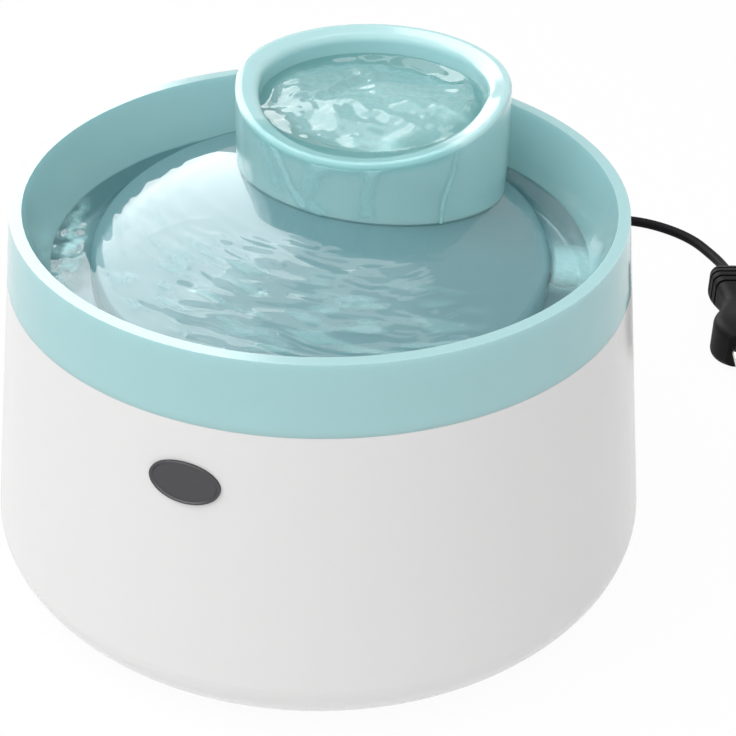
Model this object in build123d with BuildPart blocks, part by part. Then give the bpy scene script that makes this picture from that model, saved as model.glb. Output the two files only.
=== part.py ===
from build123d import *

import os
from math import atan, cos, degrees, hypot, pi, radians, sin, sqrt, tan

os.makedirs("parts", exist_ok=True)

# Pet water fountain. Millimetres, +Z up, the table at Z = 0, the drinking side towards -Y.
# A white base holds the water, the filter and the pump. A mint drinking bowl sits on it, with a
# domed platform and, towards the back, a tower whose cup is filled from the pump below.

# ---- clearances between pieces ---------------------------------------------------------------
sliding_gap = 0.3  # pieces that are put together by hand
running_gap = 0.06  # rotor, shaft and seal
fit_gap = 0.1  # rubber and inserts in their seats

# ---- outer body: one straight taper from the belly to the rim --------------------------------
rim_radius = 100.0
seam_height = 112.0
band_height = 23.5
belly_radius = 113.2
belly_height = 23.0
underside_radius = 92.6
corner_fullness = 0.44
seam_round = 0.5

# ---- base ------------------------------------------------------------------------------------
base_wall = 3.0
foot_height = 1.5
foot_radius = 7.0
foot_recess = 1.0
foot_circle_radius = 74.0
foot_count = 4

# ---- drinking bowl ---------------------------------------------------------------------------
bowl_wall = 2.5
rim_width = 3.9
rim_round = 1.2
rim_block = 7.5  # height of the thick part of the rim
moat_floor_drop = 5.0  # moat's floor below the seam
moat_floor_radius = 87.0
moat_waist_radius = 88.6
moat_waist_rise = 9.0  # from the moat's floor to where its wall turns outwards
moat_corner_round = 2.2
moat_wall_round = 18.0
lip_depth = 6.0
lip_wall = 2.0
lip_notch_depth = 6.0  # notch for the grommet
hole_radius = 5.3
hole_circle_radius = 81.0
hole_angle = -4.0

# ---- domed platform, tilted so that its back is higher ---------------------------------------
platform_radius = 76.0
platform_edge_rise = 9.8  # middle of the edge above the moat's floor
platform_rise = 15.7
platform_tilt = 5.4
platform_shoulder = 3.5

# ---- tower -----------------------------------------------------------------------------------
tower_x = 17.2
tower_y = 34.5
tower_radius = 46.2
tower_wall = 2.5
cup_radius = 38.2
cup_depth = 24.0
cup_floor_rise = 4.0  # cup's floor above the top of the platform
cup_floor_round = 6.0
cup_inlet_radius = 5.0
tower_rim_depth = 12.0
outer_lip_round = 1.4
inner_lip_round = 3.0
lip_slope_width = 5.6
lip_slope_drop = 1.7
lip_crest_round = 3.0
scoop_start = 3.0
scoop_drop = 8.6
scoop_blend = 40.0
spout_angle = -105.0
spigot_radius = 10.0
spigot_bore = 7.8
spigot_drop = 3.8  # end of the spigot below the platform's edge

# ---- pump ------------------------------------------------------------------------------------
pump_width = 38.0
pump_length = 42.0
pump_height = 42.0
pump_wall = 2.0
pump_corner = 3.0
pump_clear_height = 8.0  # under the pump, where the suction cups are
chamber_floor = 2.0  # floor of the filter chamber that the pump stands in
axis_above_floor = 15.0  # rotor axis above the pump's underside
outlet_setback = 6.0  # outlet axis behind the pump's front face
volute_radius = 13.5
volute_depth = 9.0
well_radius = 8.0
well_depth = 25.0
well_wall = 1.2
nozzle_radius = 5.0
nozzle_bore = 3.6
nozzle_length = 10.0
inlet_radius = 8.5
spoke_count = 3
spoke_width = 1.6
cover_thickness = 2.0
cover_seat = 1.4
magnet_radius = 6.6
magnet_length = 22.0
shaft_radius = 1.0
bush_radius = 3.2
bush_length = 4.0
bush_wall = 1.2
hub_radius = 4.5
blade_count = 5
blade_thickness = 1.4
blade_height = 4.9
blade_clearance = 0.4
blade_radius = 12.0
impeller_disc = 1.4
core_arm = 5.0
core_width = 14.0
core_setback = 6.5
core_gap = 0.4
coil_wall = 4.0
coil_clearance = 2.4
grille_depth = 9.0
grille_wall = 1.6
slot_width = 2.2
slot_length = 24.0
slot_pitch = 4.6
slot_count = 5
slider_width = 13.0
slider_height = 8.0
slider_thickness = 1.6
slider_travel = 9.0
rail_width = 1.6
rail_lip = 0.8
rail_overhang = 0.8
tab_size = 3.0
suction_radius = 6.5
suction_bell = 4.0
suction_neck = 2.6
suction_inset = 6.0
suction_edge = 1.0
suction_hollow = 2.0
gland_radius = 4.6
gland_tip_radius = 3.2
gland_flange = 1.5
gland_height = 7.0
gland_x_offset = -12.0
gland_back_offset = 7.0

# ---- riser -----------------------------------------------------------------------------------
riser_wall = 1.2
riser_top_gap = 8.5  # below the cup's floor
seal_length = 6.0

# ---- filter ----------------------------------------------------------------------------------
chamber_wall = 2.0
chamber_height = 40.0
chamber_side_gap = 8.0
chamber_back_gap = 5.0
chamber_corner = 8.0
cartridge_thickness = 12.0
cartridge_height = 48.0
frame_wall = 1.6
frame_bar = 2.0
window_margin = 3.2
window_rows = 3
window_columns = 4
guide_depth = 3.0
grip_width = 16.0
grip_height = 6.0
grip_thickness = 3.0
cartridge_clearance = 2.6  # between the slider's tab and the cartridge

# ---- mains lead ------------------------------------------------------------------------------
cord_radius = 2.25
cord_exit_drop = 14.5  # below the seam
grommet_width = 11.0
grommet_flange = 2.0
grommet_lip = 1.8
nose_length = 20.0
nose_root_radius = 4.8
nose_tip_radius = 3.2
bend_share = 0.45
coil_turns = 7
coil_layers = 2
coil_turn_radius = 32.5  # outermost turn, on its centre line
coil_edge_round = 1.6
coil_x = 43.0
coil_y = 196.5
tie_width = 9.0
tie_thickness = 0.8
tie_gap = 1.2
tie_round = 1.0

# ---- mains plug ------------------------------------------------------------------------------
plug_x = 181.0
plug_rear_y = 158.5
plug_length = 59.0
plug_rear_width = 19.6
plug_rear_height = 12.0
flange_place = 3.5  # places are distances from the rear face
plug_flange_width = 22.4
plug_flange_height = 14.4
waist_place = 26.5
plug_waist_width = 18.4
plug_waist_height = 13.0
belly_place = 46.5
plug_belly_width = 35.4
plug_belly_height = 19.0
plug_front_width = 27.0
plug_front_height = 15.6
plug_edge_round = 4.0
rib_count = 4
rib_start = 3.2
rib_pitch = 3.7
rib_groove = 1.3
rib_core_width = 19.6
rib_core_height = 12.0
pin_radius = 2.4
pin_length = 19.0
pin_pitch = 19.0

# ---- sizes that follow from the ones above ---------------------------------------------------
rim_height = seam_height + band_height
moat_floor_height = seam_height - moat_floor_drop
moat_waist_height = moat_floor_height + moat_waist_rise
platform_edge_height = moat_floor_height + platform_edge_rise
cup_floor_height = platform_edge_height + platform_rise + cup_floor_rise
tower_height = cup_floor_height + cup_depth
spigot_bottom = platform_edge_height - spigot_drop
cord_exit_height = seam_height - cord_exit_drop
riser_top = cup_floor_height - riser_top_gap
taper = (belly_radius - rim_radius) / (rim_height - belly_height)
taper_angle = degrees(atan(taper))
floor_top = foot_height + base_wall
bowl_floor_under = moat_floor_height - bowl_wall
pump_x = tower_x
pump_front = tower_y - outlet_setback
pump_bottom = floor_top + chamber_floor + pump_clear_height
pump_top = pump_bottom + pump_height
axis_height = pump_bottom + axis_above_floor
riser_bore = nozzle_radius + running_gap
riser_radius = riser_bore + riser_wall
riser_bottom = pump_top
pump_back = pump_front + pump_length
pump_middle = (pump_front + pump_back) / 2
volute_back = pump_front + volute_depth
well_back = volute_back + well_depth
bush_back = well_back + bush_length
gland_x = pump_x + gland_x_offset
gland_y = pump_back - gland_back_offset
cover_radius = volute_radius + cover_seat
bush_seat = bush_radius + fit_gap
flange_width = grommet_width + 2 * grommet_lip
plug_axis_height = plug_belly_height / 2 + fit_gap


def side_radius(height):
    """Outside radius of the body on its straight taper."""
    return belly_radius - taper * (height - belly_height)


def finish(part, name):
    """Label a finished piece and write its file."""
    part.label = name
    export_step(part, f"parts/{name}.step")


# ---- base_shell: white moulded reservoir, open at the top ------------------------------------
corner_wide = belly_radius - underside_radius
corner_handle = corner_fullness * (belly_height - foot_height)
seam_radius = side_radius(seam_height)
notch_y = sqrt(side_radius(cord_exit_height) ** 2 - gland_x**2)
with BuildPart() as base_shell:
    with BuildSketch(Plane.XZ):
        with BuildLine():
            under = Line((0, foot_height), (underside_radius, foot_height))
            corner = Bezier(
                under @ 1,
                (underside_radius + corner_fullness * corner_wide, foot_height),
                (belly_radius + taper * corner_handle, belly_height - corner_handle),
                (belly_radius, belly_height),
            )
            side = Line(corner @ 1, (seam_radius, seam_height))
            across = Line(side @ 1, (0, seam_height))
            Line(across @ 1, under @ 0)
        make_face()
    revolve(axis=Axis.Z)
    offset(amount=-base_wall, openings=base_shell.faces().sort_by(Axis.Z)[-1])
    mouth_edges = base_shell.edges().filter_by(GeomType.CIRCLE).group_by(Axis.Z)[-1]
    fillet(mouth_edges.sort_by(SortBy.LENGTH)[-1], seam_round)
    # recesses for the feet
    with BuildSketch(Plane.XY.offset(foot_height)):
        with PolarLocations(foot_circle_radius, foot_count, start_angle=45):
            Circle(foot_radius + sliding_gap)
    extrude(amount=foot_recess, mode=Mode.SUBTRACT)
    # slot for the grommet, open at the top
    with BuildSketch(Plane.XZ.offset(-notch_y)):
        with Locations((gland_x, cord_exit_height)):
            Circle(grommet_width / 2)
        with Locations((gland_x, seam_height)):
            Rectangle(grommet_width, 2 * (seam_height - cord_exit_height))
    extrude(amount=2 * base_wall, both=True, mode=Mode.SUBTRACT)
finish(base_shell.part, "base_shell")

# ---- rubber_feet: four pads pressed into the recesses ----------------------------------------
with BuildPart() as rubber_feet:
    with BuildSketch(Plane.XY):
        with PolarLocations(foot_circle_radius, foot_count, start_angle=45):
            Circle(foot_radius)
    extrude(amount=foot_height + foot_recess)
    chamfer(rubber_feet.edges().group_by(Axis.Z)[0], foot_height / 3)
finish(rubber_feet.part, "rubber_feet")

# ---- forms that the bowl and the tower share -------------------------------------------------
tilt = radians(platform_tilt)
platform_normal = (0, -sin(tilt), cos(tilt))
platform_axis = Axis((0, 0, platform_edge_height), platform_normal)
platform_profile_plane = Plane(
    origin=(0, 0, platform_edge_height), x_dir=(1, 0, 0), z_dir=(0, -cos(tilt), -sin(tilt))
)


def platform_form(inset):
    """Solid under the platform's skin, moved in by the inset, down to the moat's underside."""
    radius = platform_radius - inset
    rise = platform_rise - inset
    depth = platform_edge_height - bowl_floor_under + platform_radius * sin(tilt) + bowl_wall
    with BuildPart() as form:
        with BuildSketch(platform_profile_plane):
            with BuildLine():
                dome = TangentArc((0, rise), (radius, -inset), tangent=(1, 0))
                skirt = Line(dome @ 1, (radius, -depth))
                foot = Line(skirt @ 1, (0, -depth))
                Line(foot @ 1, dome @ 0)
            outline = make_face()
            shoulder = outline.vertices().sort_by_distance((radius, -inset))[0]
            fillet(shoulder, platform_shoulder - inset)
        revolve(axis=platform_axis)
        split(bisect_by=Plane.XY.offset(bowl_floor_under), keep=Keep.TOP)
    return form.part


platform_skin = platform_form(0)
platform_hollow = platform_form(bowl_wall)

# ---- drinking_bowl: mint moulding with the flush band, the rim, the moat and the platform ----
band_inner = side_radius(seam_height) - base_wall
lip_outer = band_inner - sliding_gap
rim_inner = rim_radius - rim_width
rim_root = rim_height - rim_block
with BuildPart() as drinking_bowl:
    with BuildSketch(Plane.XZ):
        with BuildLine():
            Polyline(
                (0, moat_floor_height),
                (moat_floor_radius, moat_floor_height),
                (moat_waist_radius, moat_waist_height),
                (rim_inner, rim_height),
                (rim_radius, rim_height),
                (seam_radius, seam_height),
                (lip_outer, seam_height),
                (lip_outer, seam_height - lip_depth),
                (lip_outer - lip_wall, seam_height - lip_depth),
                (lip_outer - lip_wall, seam_height + lip_wall),
                (side_radius(seam_height + 2 * lip_wall) - bowl_wall, seam_height + 2 * lip_wall),
                (side_radius(rim_root) - bowl_wall, rim_root),
                (moat_waist_radius + bowl_wall, moat_waist_height - bowl_wall / 2),
                (moat_floor_radius + bowl_wall, bowl_floor_under),
                (0, bowl_floor_under),
                close=True,
            )
        corners = make_face().vertices()
        fillet(corners.sort_by_distance((moat_floor_radius, moat_floor_height))[0], moat_corner_round)
        fillet(corners.sort_by_distance((moat_waist_radius, moat_waist_height))[0], moat_wall_round)
        fillet(corners.sort_by_distance((rim_inner, rim_height))[0], rim_round)
        fillet(corners.sort_by_distance((rim_radius, rim_height))[0], rim_round)
        fillet(corners.sort_by_distance((seam_radius, seam_height))[0], seam_round)
    revolve(axis=Axis.Z)
    add(platform_skin)
    add(platform_hollow, mode=Mode.SUBTRACT)
    # drain hole in the moat
    with BuildSketch(Plane.XY.offset(bowl_floor_under)):
        with PolarLocations(hole_circle_radius, 1, start_angle=hole_angle):
            Circle(hole_radius)
    extrude(amount=bowl_wall + moat_corner_round, mode=Mode.SUBTRACT)
    # hole in the platform for the tower's spigot
    with BuildSketch(Plane.XY.offset(bowl_floor_under)):
        with Locations((tower_x, tower_y)):
            Circle(spigot_radius + sliding_gap)
    extrude(until=Until.LAST, mode=Mode.SUBTRACT)
    # notch in the locating lip for the grommet
    with Locations((gland_x, lip_outer, seam_height - lip_depth)):
        Box(
            flange_width + 2 * sliding_gap,
            lip_notch_depth,
            lip_depth,
            align=(Align.CENTER, Align.MAX, Align.MIN),
            mode=Mode.SUBTRACT,
        )
finish(drinking_bowl.part, "drinking_bowl")

# ---- fountain_tower: mint cylinder with a cup in its top, seated on the platform -------------
cup_under = cup_floor_height - tower_wall
cavity_top = tower_height - tower_rim_depth
crest_radius = (tower_radius + cup_radius) / 2
scoop_slope = scoop_drop / (crest_radius - scoop_start)
scoop_reach = 2 * tower_radius
spout = radians(spout_angle)
spout_plane = Plane(
    origin=(tower_x, tower_y, 0), x_dir=(cos(spout), sin(spout), 0), z_dir=(sin(spout), -cos(spout), 0)
)


def rim_edges(radius):
    """Edges of the tower's rim that lie on a cylinder about the tower's axis."""
    found = []
    for edge in fountain_tower.edges().filter_by_position(Axis.Z, cavity_top, tower_height):
        middle = edge @ 0.5
        if abs(hypot(middle.X - tower_x, middle.Y - tower_y) - radius) < fit_gap:
            found.append(edge)
    return found


with BuildPart() as fountain_tower:
    with BuildSketch(Plane.XY.offset(moat_floor_height)):
        with Locations((tower_x, tower_y)):
            Circle(tower_radius)
    extrude(amount=tower_height + scoop_drop - moat_floor_height)
    # hollow under the cup and round it, open below
    with BuildSketch(Plane.XY.offset(moat_floor_height)):
        with Locations((tower_x, tower_y)):
            Circle(tower_radius - tower_wall)
    extrude(amount=cup_under - moat_floor_height, mode=Mode.SUBTRACT)
    with BuildSketch(Plane.XY.offset(cup_under)):
        with Locations((tower_x, tower_y)):
            Circle(tower_radius - tower_wall)
            Circle(cup_radius + tower_wall, mode=Mode.SUBTRACT)
    extrude(amount=cavity_top - cup_under, mode=Mode.SUBTRACT)
    # the wall ends on the platform, or on the moat's floor behind it
    add(platform_skin, mode=Mode.SUBTRACT)
    # level top with a scoop towards the spout
    with BuildSketch(spout_plane):
        with BuildLine():
            Polyline(
                (-scoop_reach, tower_height),
                (scoop_start, tower_height),
                (scoop_reach, tower_height - scoop_slope * (scoop_reach - scoop_start)),
                (scoop_reach, 2 * tower_height),
                (-scoop_reach, 2 * tower_height),
                close=True,
            )
        bend = make_face().vertices().sort_by_distance((scoop_start, tower_height))[0]
        fillet(bend, scoop_blend)
    extrude(amount=scoop_reach, both=True, mode=Mode.SUBTRACT)
    # the cup
    with BuildSketch(Plane.XY.offset(cup_floor_height)):
        with Locations((tower_x, tower_y)):
            Circle(cup_radius)
    extrude(until=Until.LAST, mode=Mode.SUBTRACT)
    # the rim slopes in towards the cup, and every edge of it is rounded
    cup_faces = fountain_tower.faces().filter_by(GeomType.CYLINDER)
    cup_wall = cup_faces.filter_by(lambda face: abs(face.radius - cup_radius) < fit_gap)[0]
    chamfer(rim_edges(cup_radius), lip_slope_drop, lip_slope_width, reference=cup_wall)
    fillet(rim_edges(cup_radius + lip_slope_width), lip_crest_round)
    fillet(rim_edges(tower_radius), outer_lip_round)
    fillet(rim_edges(cup_radius), inner_lip_round)
    floor_edges = fountain_tower.edges().filter_by(GeomType.CIRCLE)
    fillet(floor_edges.filter_by_position(Axis.Z, cup_floor_height, cup_floor_height), cup_floor_round)
    # spigot down to the riser, and the cup's inlet
    with BuildSketch(Plane.XY.offset(spigot_bottom)):
        with Locations((tower_x, tower_y)):
            Circle(spigot_radius)
    extrude(amount=cup_under - spigot_bottom)
    with BuildSketch(Plane.XY.offset(spigot_bottom)):
        with Locations((tower_x, tower_y)):
            Circle(spigot_bore)
    extrude(amount=cup_under - spigot_bottom, mode=Mode.SUBTRACT)
    with BuildSketch(Plane.XY.offset(cup_under)):
        with Locations((tower_x, tower_y)):
            Circle(cup_inlet_radius)
    extrude(amount=tower_wall, mode=Mode.SUBTRACT)
finish(fountain_tower.part, "fountain_tower")

# ---- riser_seal: soft ring in the mouth of the spigot, round the riser tube ------------------
with BuildPart() as riser_seal:
    with BuildSketch(Plane.XY.offset(spigot_bottom)):
        with Locations((tower_x, tower_y)):
            Circle(spigot_bore - running_gap)
            Circle(riser_radius + running_gap, mode=Mode.SUBTRACT)
    extrude(amount=seal_length)
finish(riser_seal.part, "riser_seal")

# ---- riser_tube: stiff tube pushed over the pump's nozzle ------------------------------------
with BuildPart() as riser_tube:
    with BuildSketch(Plane.XY.offset(riser_bottom)):
        with Locations((tower_x, tower_y)):
            Circle(riser_radius)
            Circle(riser_bore, mode=Mode.SUBTRACT)
    extrude(amount=riser_top - riser_bottom)
finish(riser_tube.part, "riser_tube")

# ---- pump_body: moulded housing with impeller chamber, rotor well, motor pocket and nozzle ----
front_plane = Plane(origin=(pump_x, pump_front, axis_height), x_dir=(-1, 0, 0), z_dir=(0, 1, 0))
volute_plane = front_plane.offset(volute_depth)
well_plane = front_plane.offset(well_back - pump_front)
pocket_front = volute_back + pump_wall
pocket_plane = front_plane.offset(pocket_front - pump_front)
body_middle = pump_bottom + pump_height / 2 - axis_height
pocket_depth = pump_back - pocket_front
with BuildPart() as motor_pocket:
    with BuildSketch(pocket_plane):
        with Locations((0, body_middle)):
            Rectangle(pump_width - 2 * pump_wall, pump_height - 2 * pump_wall)
    extrude(amount=pocket_depth)
    with BuildSketch(volute_plane):
        Circle(well_radius + well_wall)
    extrude(amount=well_depth + well_wall, mode=Mode.SUBTRACT)
    with BuildSketch(well_plane):
        Circle(bush_seat + bush_wall)
    extrude(amount=bush_length + bush_wall, mode=Mode.SUBTRACT)

with BuildPart() as pump_body:
    with BuildSketch(Plane.XY.offset(pump_bottom)):
        with Locations((pump_x, pump_middle)):
            RectangleRounded(pump_width, pump_length, pump_corner)
    extrude(amount=pump_height)
    with BuildSketch(Plane.XY.offset(pump_top)):
        with Locations((tower_x, tower_y)):
            Circle(nozzle_radius)
    extrude(amount=nozzle_length)
    with BuildSketch(front_plane):
        Circle(cover_radius + fit_gap)
    extrude(amount=cover_thickness, mode=Mode.SUBTRACT)
    with BuildSketch(front_plane):
        Circle(volute_radius)
    extrude(amount=volute_depth, mode=Mode.SUBTRACT)
    with BuildSketch(volute_plane):
        Circle(well_radius)
    extrude(amount=well_depth, mode=Mode.SUBTRACT)
    with BuildSketch(well_plane):
        Circle(bush_seat)
    extrude(amount=bush_length, mode=Mode.SUBTRACT)
    # outlet bore from the impeller chamber up through the nozzle
    with BuildSketch(Plane.XY.offset(axis_height)):
        with Locations((tower_x, tower_y)):
            Circle(nozzle_bore)
    extrude(amount=pump_top + nozzle_length - axis_height, mode=Mode.SUBTRACT)
    add(motor_pocket.part, mode=Mode.SUBTRACT)
    # hole for the gland
    with BuildSketch(Plane.XY.offset(pump_top - pump_wall)):
        with Locations((gland_x, gland_y)):
            Circle(gland_radius + fit_gap)
    extrude(amount=pump_wall, mode=Mode.SUBTRACT)
finish(pump_body.part, "pump_body")

# ---- stator_core: laminated iron bridge over the rotor well ----------------------------------
arm_inside = well_radius + well_wall + core_gap
coil_bottom = well_radius + well_wall + coil_clearance
arm_length = well_radius + coil_bottom + coil_wall
core_plane = front_plane.offset(pocket_front + core_setback - pump_front)
with BuildPart() as stator_core:
    with BuildSketch(core_plane):
        with Locations((0, -well_radius)):
            Rectangle(2 * (arm_inside + core_arm), arm_length + core_arm, align=(Align.CENTER, Align.MIN))
            Rectangle(2 * arm_inside, arm_length, align=(Align.CENTER, Align.MIN), mode=Mode.SUBTRACT)
    extrude(amount=core_width)
finish(stator_core.part, "stator_core")

# ---- stator_coil: winding round the bridge ---------------------------------------------------
coil_plane = core_plane.offset(-coil_wall)
with BuildPart() as stator_coil:
    with BuildSketch(coil_plane):
        with Locations((0, coil_bottom)):
            Rectangle(2 * (arm_inside - core_gap), core_arm + 2 * coil_wall, align=(Align.CENTER, Align.MIN))
    extrude(amount=core_width + 2 * coil_wall)
    fillet(stator_coil.edges().filter_by(Axis.X), coil_wall / 2)
    add(stator_core.part, mode=Mode.SUBTRACT)
finish(stator_coil.part, "stator_coil")

# ---- resin_fill: casting resin that seals the motor in its pocket ----------------------------
with BuildPart() as resin_fill:
    add(motor_pocket.part)
    add(stator_core.part, mode=Mode.SUBTRACT)
    add(stator_coil.part, mode=Mode.SUBTRACT)
finish(resin_fill.part, "resin_fill")

# ---- rear_bush and front_bush: rubber bushes that hold the shaft -----------------------------
bush_front = pump_front + cover_thickness - bush_length
for bush_name, bush_start in (("rear_bush", well_back), ("front_bush", bush_front)):
    with BuildPart() as bush:
        with BuildSketch(front_plane.offset(bush_start - pump_front)):
            Circle(bush_radius)
            Circle(shaft_radius + running_gap, mode=Mode.SUBTRACT)
        extrude(amount=bush_length)
    finish(bush.part, bush_name)

# ---- rotor_shaft: ceramic pin between the bushes ---------------------------------------------
with BuildPart() as rotor_shaft:
    with BuildSketch(front_plane.offset(bush_front - pump_front)):
        Circle(shaft_radius)
    extrude(amount=bush_back - bush_front)
finish(rotor_shaft.part, "rotor_shaft")

# ---- impeller: hub, back disc and straight paddles -------------------------------------------
hub_front = pump_front + cover_thickness + blade_clearance
disc_front = hub_front + blade_height
magnet_front = well_back - magnet_length - blade_clearance
with BuildPart() as impeller:
    with BuildSketch(front_plane.offset(hub_front - pump_front)):
        Circle(hub_radius)
    extrude(amount=magnet_front - hub_front)
    with BuildSketch(front_plane.offset(disc_front - pump_front)):
        Circle(blade_radius)
    extrude(amount=impeller_disc)
    with BuildSketch(front_plane.offset(hub_front - pump_front)):
        with PolarLocations(0, blade_count):
            Rectangle(blade_radius, blade_thickness, align=(Align.MIN, Align.CENTER))
    extrude(amount=blade_height)
    with BuildSketch(front_plane.offset(hub_front - pump_front)):
        Circle(shaft_radius + running_gap)
    extrude(amount=magnet_front - hub_front, mode=Mode.SUBTRACT)
finish(impeller.part, "impeller")

# ---- rotor_magnet: ferrite cylinder behind the impeller --------------------------------------
with BuildPart() as rotor_magnet:
    with BuildSketch(front_plane.offset(magnet_front - pump_front)):
        Circle(magnet_radius)
        Circle(shaft_radius + running_gap, mode=Mode.SUBTRACT)
    extrude(amount=magnet_length)
finish(rotor_magnet.part, "rotor_magnet")

# ---- impeller_cover: plate with the inlet eye and the front bush's seat ----------------------
with BuildPart() as impeller_cover:
    with BuildSketch(front_plane):
        Circle(cover_radius)
        Circle(inlet_radius, mode=Mode.SUBTRACT)
        Circle(bush_seat + bush_wall)
        with PolarLocations(0, spoke_count):
            Rectangle(cover_radius - cover_seat, spoke_width, align=(Align.MIN, Align.CENTER))
    extrude(amount=cover_thickness)
    with BuildSketch(front_plane):
        Circle(bush_seat + bush_wall)
    extrude(amount=cover_thickness - bush_length)
    with BuildSketch(front_plane.offset(bush_front - pump_front)):
        Circle(bush_seat)
    extrude(amount=bush_length, mode=Mode.SUBTRACT)
finish(impeller_cover.part, "impeller_cover")

# ---- intake_grille: slotted cap over the pump's front, with rails for the slider -------------
grille_plane = front_plane.offset(-grille_depth)
grille_height = pump_height - 2 * pump_corner
slider_row = slider_height + 2 * sliding_gap
slider_slot = slider_thickness + 2 * sliding_gap
rail_length = slider_width + slider_travel + 2 * (sliding_gap + rail_width)
with BuildPart() as intake_grille:
    with BuildSketch(grille_plane):
        with Locations((0, body_middle)):
            RectangleRounded(pump_width, grille_height, pump_corner)
    extrude(amount=grille_depth)
    with BuildSketch(grille_plane.offset(grille_wall)):
        with Locations((0, body_middle)):
            RectangleRounded(pump_width - 2 * grille_wall, grille_height - 2 * grille_wall, pump_corner / 2)
    extrude(amount=grille_depth - grille_wall, mode=Mode.SUBTRACT)
    with BuildSketch(grille_plane):
        with GridLocations(slot_pitch, 1, slot_count, 1):
            SlotOverall(slot_length, slot_width, rotation=90)
    extrude(amount=grille_wall, mode=Mode.SUBTRACT)
    # rails above and below the slider, with a lip in front of it
    with BuildSketch(grille_plane):
        with GridLocations(1, slider_row + rail_width, 1, 2):
            Rectangle(rail_length, rail_width)
    extrude(amount=-(slider_slot + rail_lip))
    with BuildSketch(grille_plane.offset(-slider_slot)):
        with GridLocations(1, slider_row + rail_width - rail_overhang, 1, 2):
            Rectangle(rail_length, rail_width + rail_overhang)
    extrude(amount=-rail_lip)
    # stops at both ends of the rails
    with BuildSketch(grille_plane):
        with GridLocations(rail_length - rail_width, 1, 2, 1):
            Rectangle(rail_width, slider_row)
    extrude(amount=-slider_slot)
finish(intake_grille.part, "intake_grille")

# ---- flow_regulator: slider in the rails, shown with the intake open -------------------------
slider_plane = grille_plane.offset(-sliding_gap)
with BuildPart() as flow_regulator:
    with BuildSketch(slider_plane):
        with Locations((slider_travel / 2, 0)):
            RectangleRounded(slider_width, slider_height, rail_width / 2)
    extrude(amount=-slider_thickness)
    with BuildSketch(slider_plane.offset(-slider_thickness)):
        with Locations((slider_travel / 2, 0)):
            Rectangle(tab_size, tab_size)
    extrude(amount=-tab_size)
finish(flow_regulator.part, "flow_regulator")

# ---- suction_cups: four rubber cups under the pump -------------------------------------------
cup_floor = floor_top + chamber_floor
with BuildPart() as suction_cup:
    with BuildSketch(Plane.XZ):
        with BuildLine():
            Polyline(
                (0, suction_hollow),
                (suction_radius - suction_edge, 0),
                (suction_radius, 0),
                (suction_neck, suction_bell),
                (suction_neck, pump_clear_height),
                (0, pump_clear_height),
                close=True,
            )
        make_face()
    revolve(axis=Axis.Z)
with BuildPart() as suction_cups:
    with Locations((pump_x, pump_middle, cup_floor)):
        with GridLocations(pump_width - 2 * suction_inset, pump_length - 2 * suction_inset, 2, 2):
            add(suction_cup.part)
finish(suction_cups.part, "suction_cups")

# ---- cord_gland: rubber gland where the lead leaves the pump ---------------------------------
with BuildPart() as cord_gland:
    with BuildSketch(Plane.XY.offset(pump_top - pump_wall)):
        with Locations((gland_x, gland_y)):
            Circle(gland_radius)
    extrude(amount=pump_wall)
    with BuildSketch(Plane.XY.offset(pump_top)):
        with Locations((gland_x, gland_y)):
            Circle(gland_radius + gland_flange)
    extrude(amount=gland_flange)
    with BuildSketch(Plane.XY.offset(pump_top + gland_flange)):
        with Locations((gland_x, gland_y)):
            Circle(gland_radius)
    with BuildSketch(Plane.XY.offset(pump_top + gland_height)):
        with Locations((gland_x, gland_y)):
            Circle(gland_tip_radius)
    loft()
    with BuildSketch(Plane.XY.offset(pump_top - pump_wall)):
        with Locations((gland_x, gland_y)):
            Circle(cord_radius + fit_gap)
    extrude(amount=pump_wall + gland_height, mode=Mode.SUBTRACT)
finish(cord_gland.part, "cord_gland")

# ---- filter_chamber: open box that holds the pump, with guides for the cartridge -------------
cartridge_back = pump_front - grille_depth - slider_slot - tab_size - cartridge_clearance
cartridge_front = cartridge_back - cartridge_thickness
chamber_inside = pump_width + 2 * chamber_side_gap
chamber_front = cartridge_front - sliding_gap - chamber_wall
chamber_back = pump_back + chamber_back_gap
chamber_length = chamber_back + chamber_wall - chamber_front
front_guide_y = chamber_front + chamber_wall / 2
back_guide_y = cartridge_back + sliding_gap + chamber_wall / 2
with BuildPart() as filter_chamber:
    with BuildSketch(Plane.XY.offset(floor_top)):
        with Locations((pump_x, chamber_front + chamber_length / 2)):
            Rectangle(chamber_inside + 2 * chamber_wall, chamber_length)
    extrude(amount=chamber_floor + chamber_height)
    back_corners = filter_chamber.edges().filter_by(Axis.Z).group_by(Axis.Y)[-1]
    fillet(back_corners, chamber_corner)
    with BuildSketch(Plane.XY.offset(cup_floor)):
        with Locations((pump_x, chamber_front)):
            Rectangle(chamber_inside, 2 * (chamber_back - chamber_front))
    extrude(amount=chamber_height, mode=Mode.SUBTRACT)
    # guides in front of and behind the cartridge
    with BuildSketch(Plane.XY.offset(cup_floor)):
        with Locations((pump_x, front_guide_y), (pump_x, back_guide_y)):
            Rectangle(chamber_inside, chamber_wall)
            Rectangle(chamber_inside - 2 * guide_depth, chamber_wall, mode=Mode.SUBTRACT)
    extrude(amount=chamber_height)
finish(filter_chamber.part, "filter_chamber")

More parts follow.
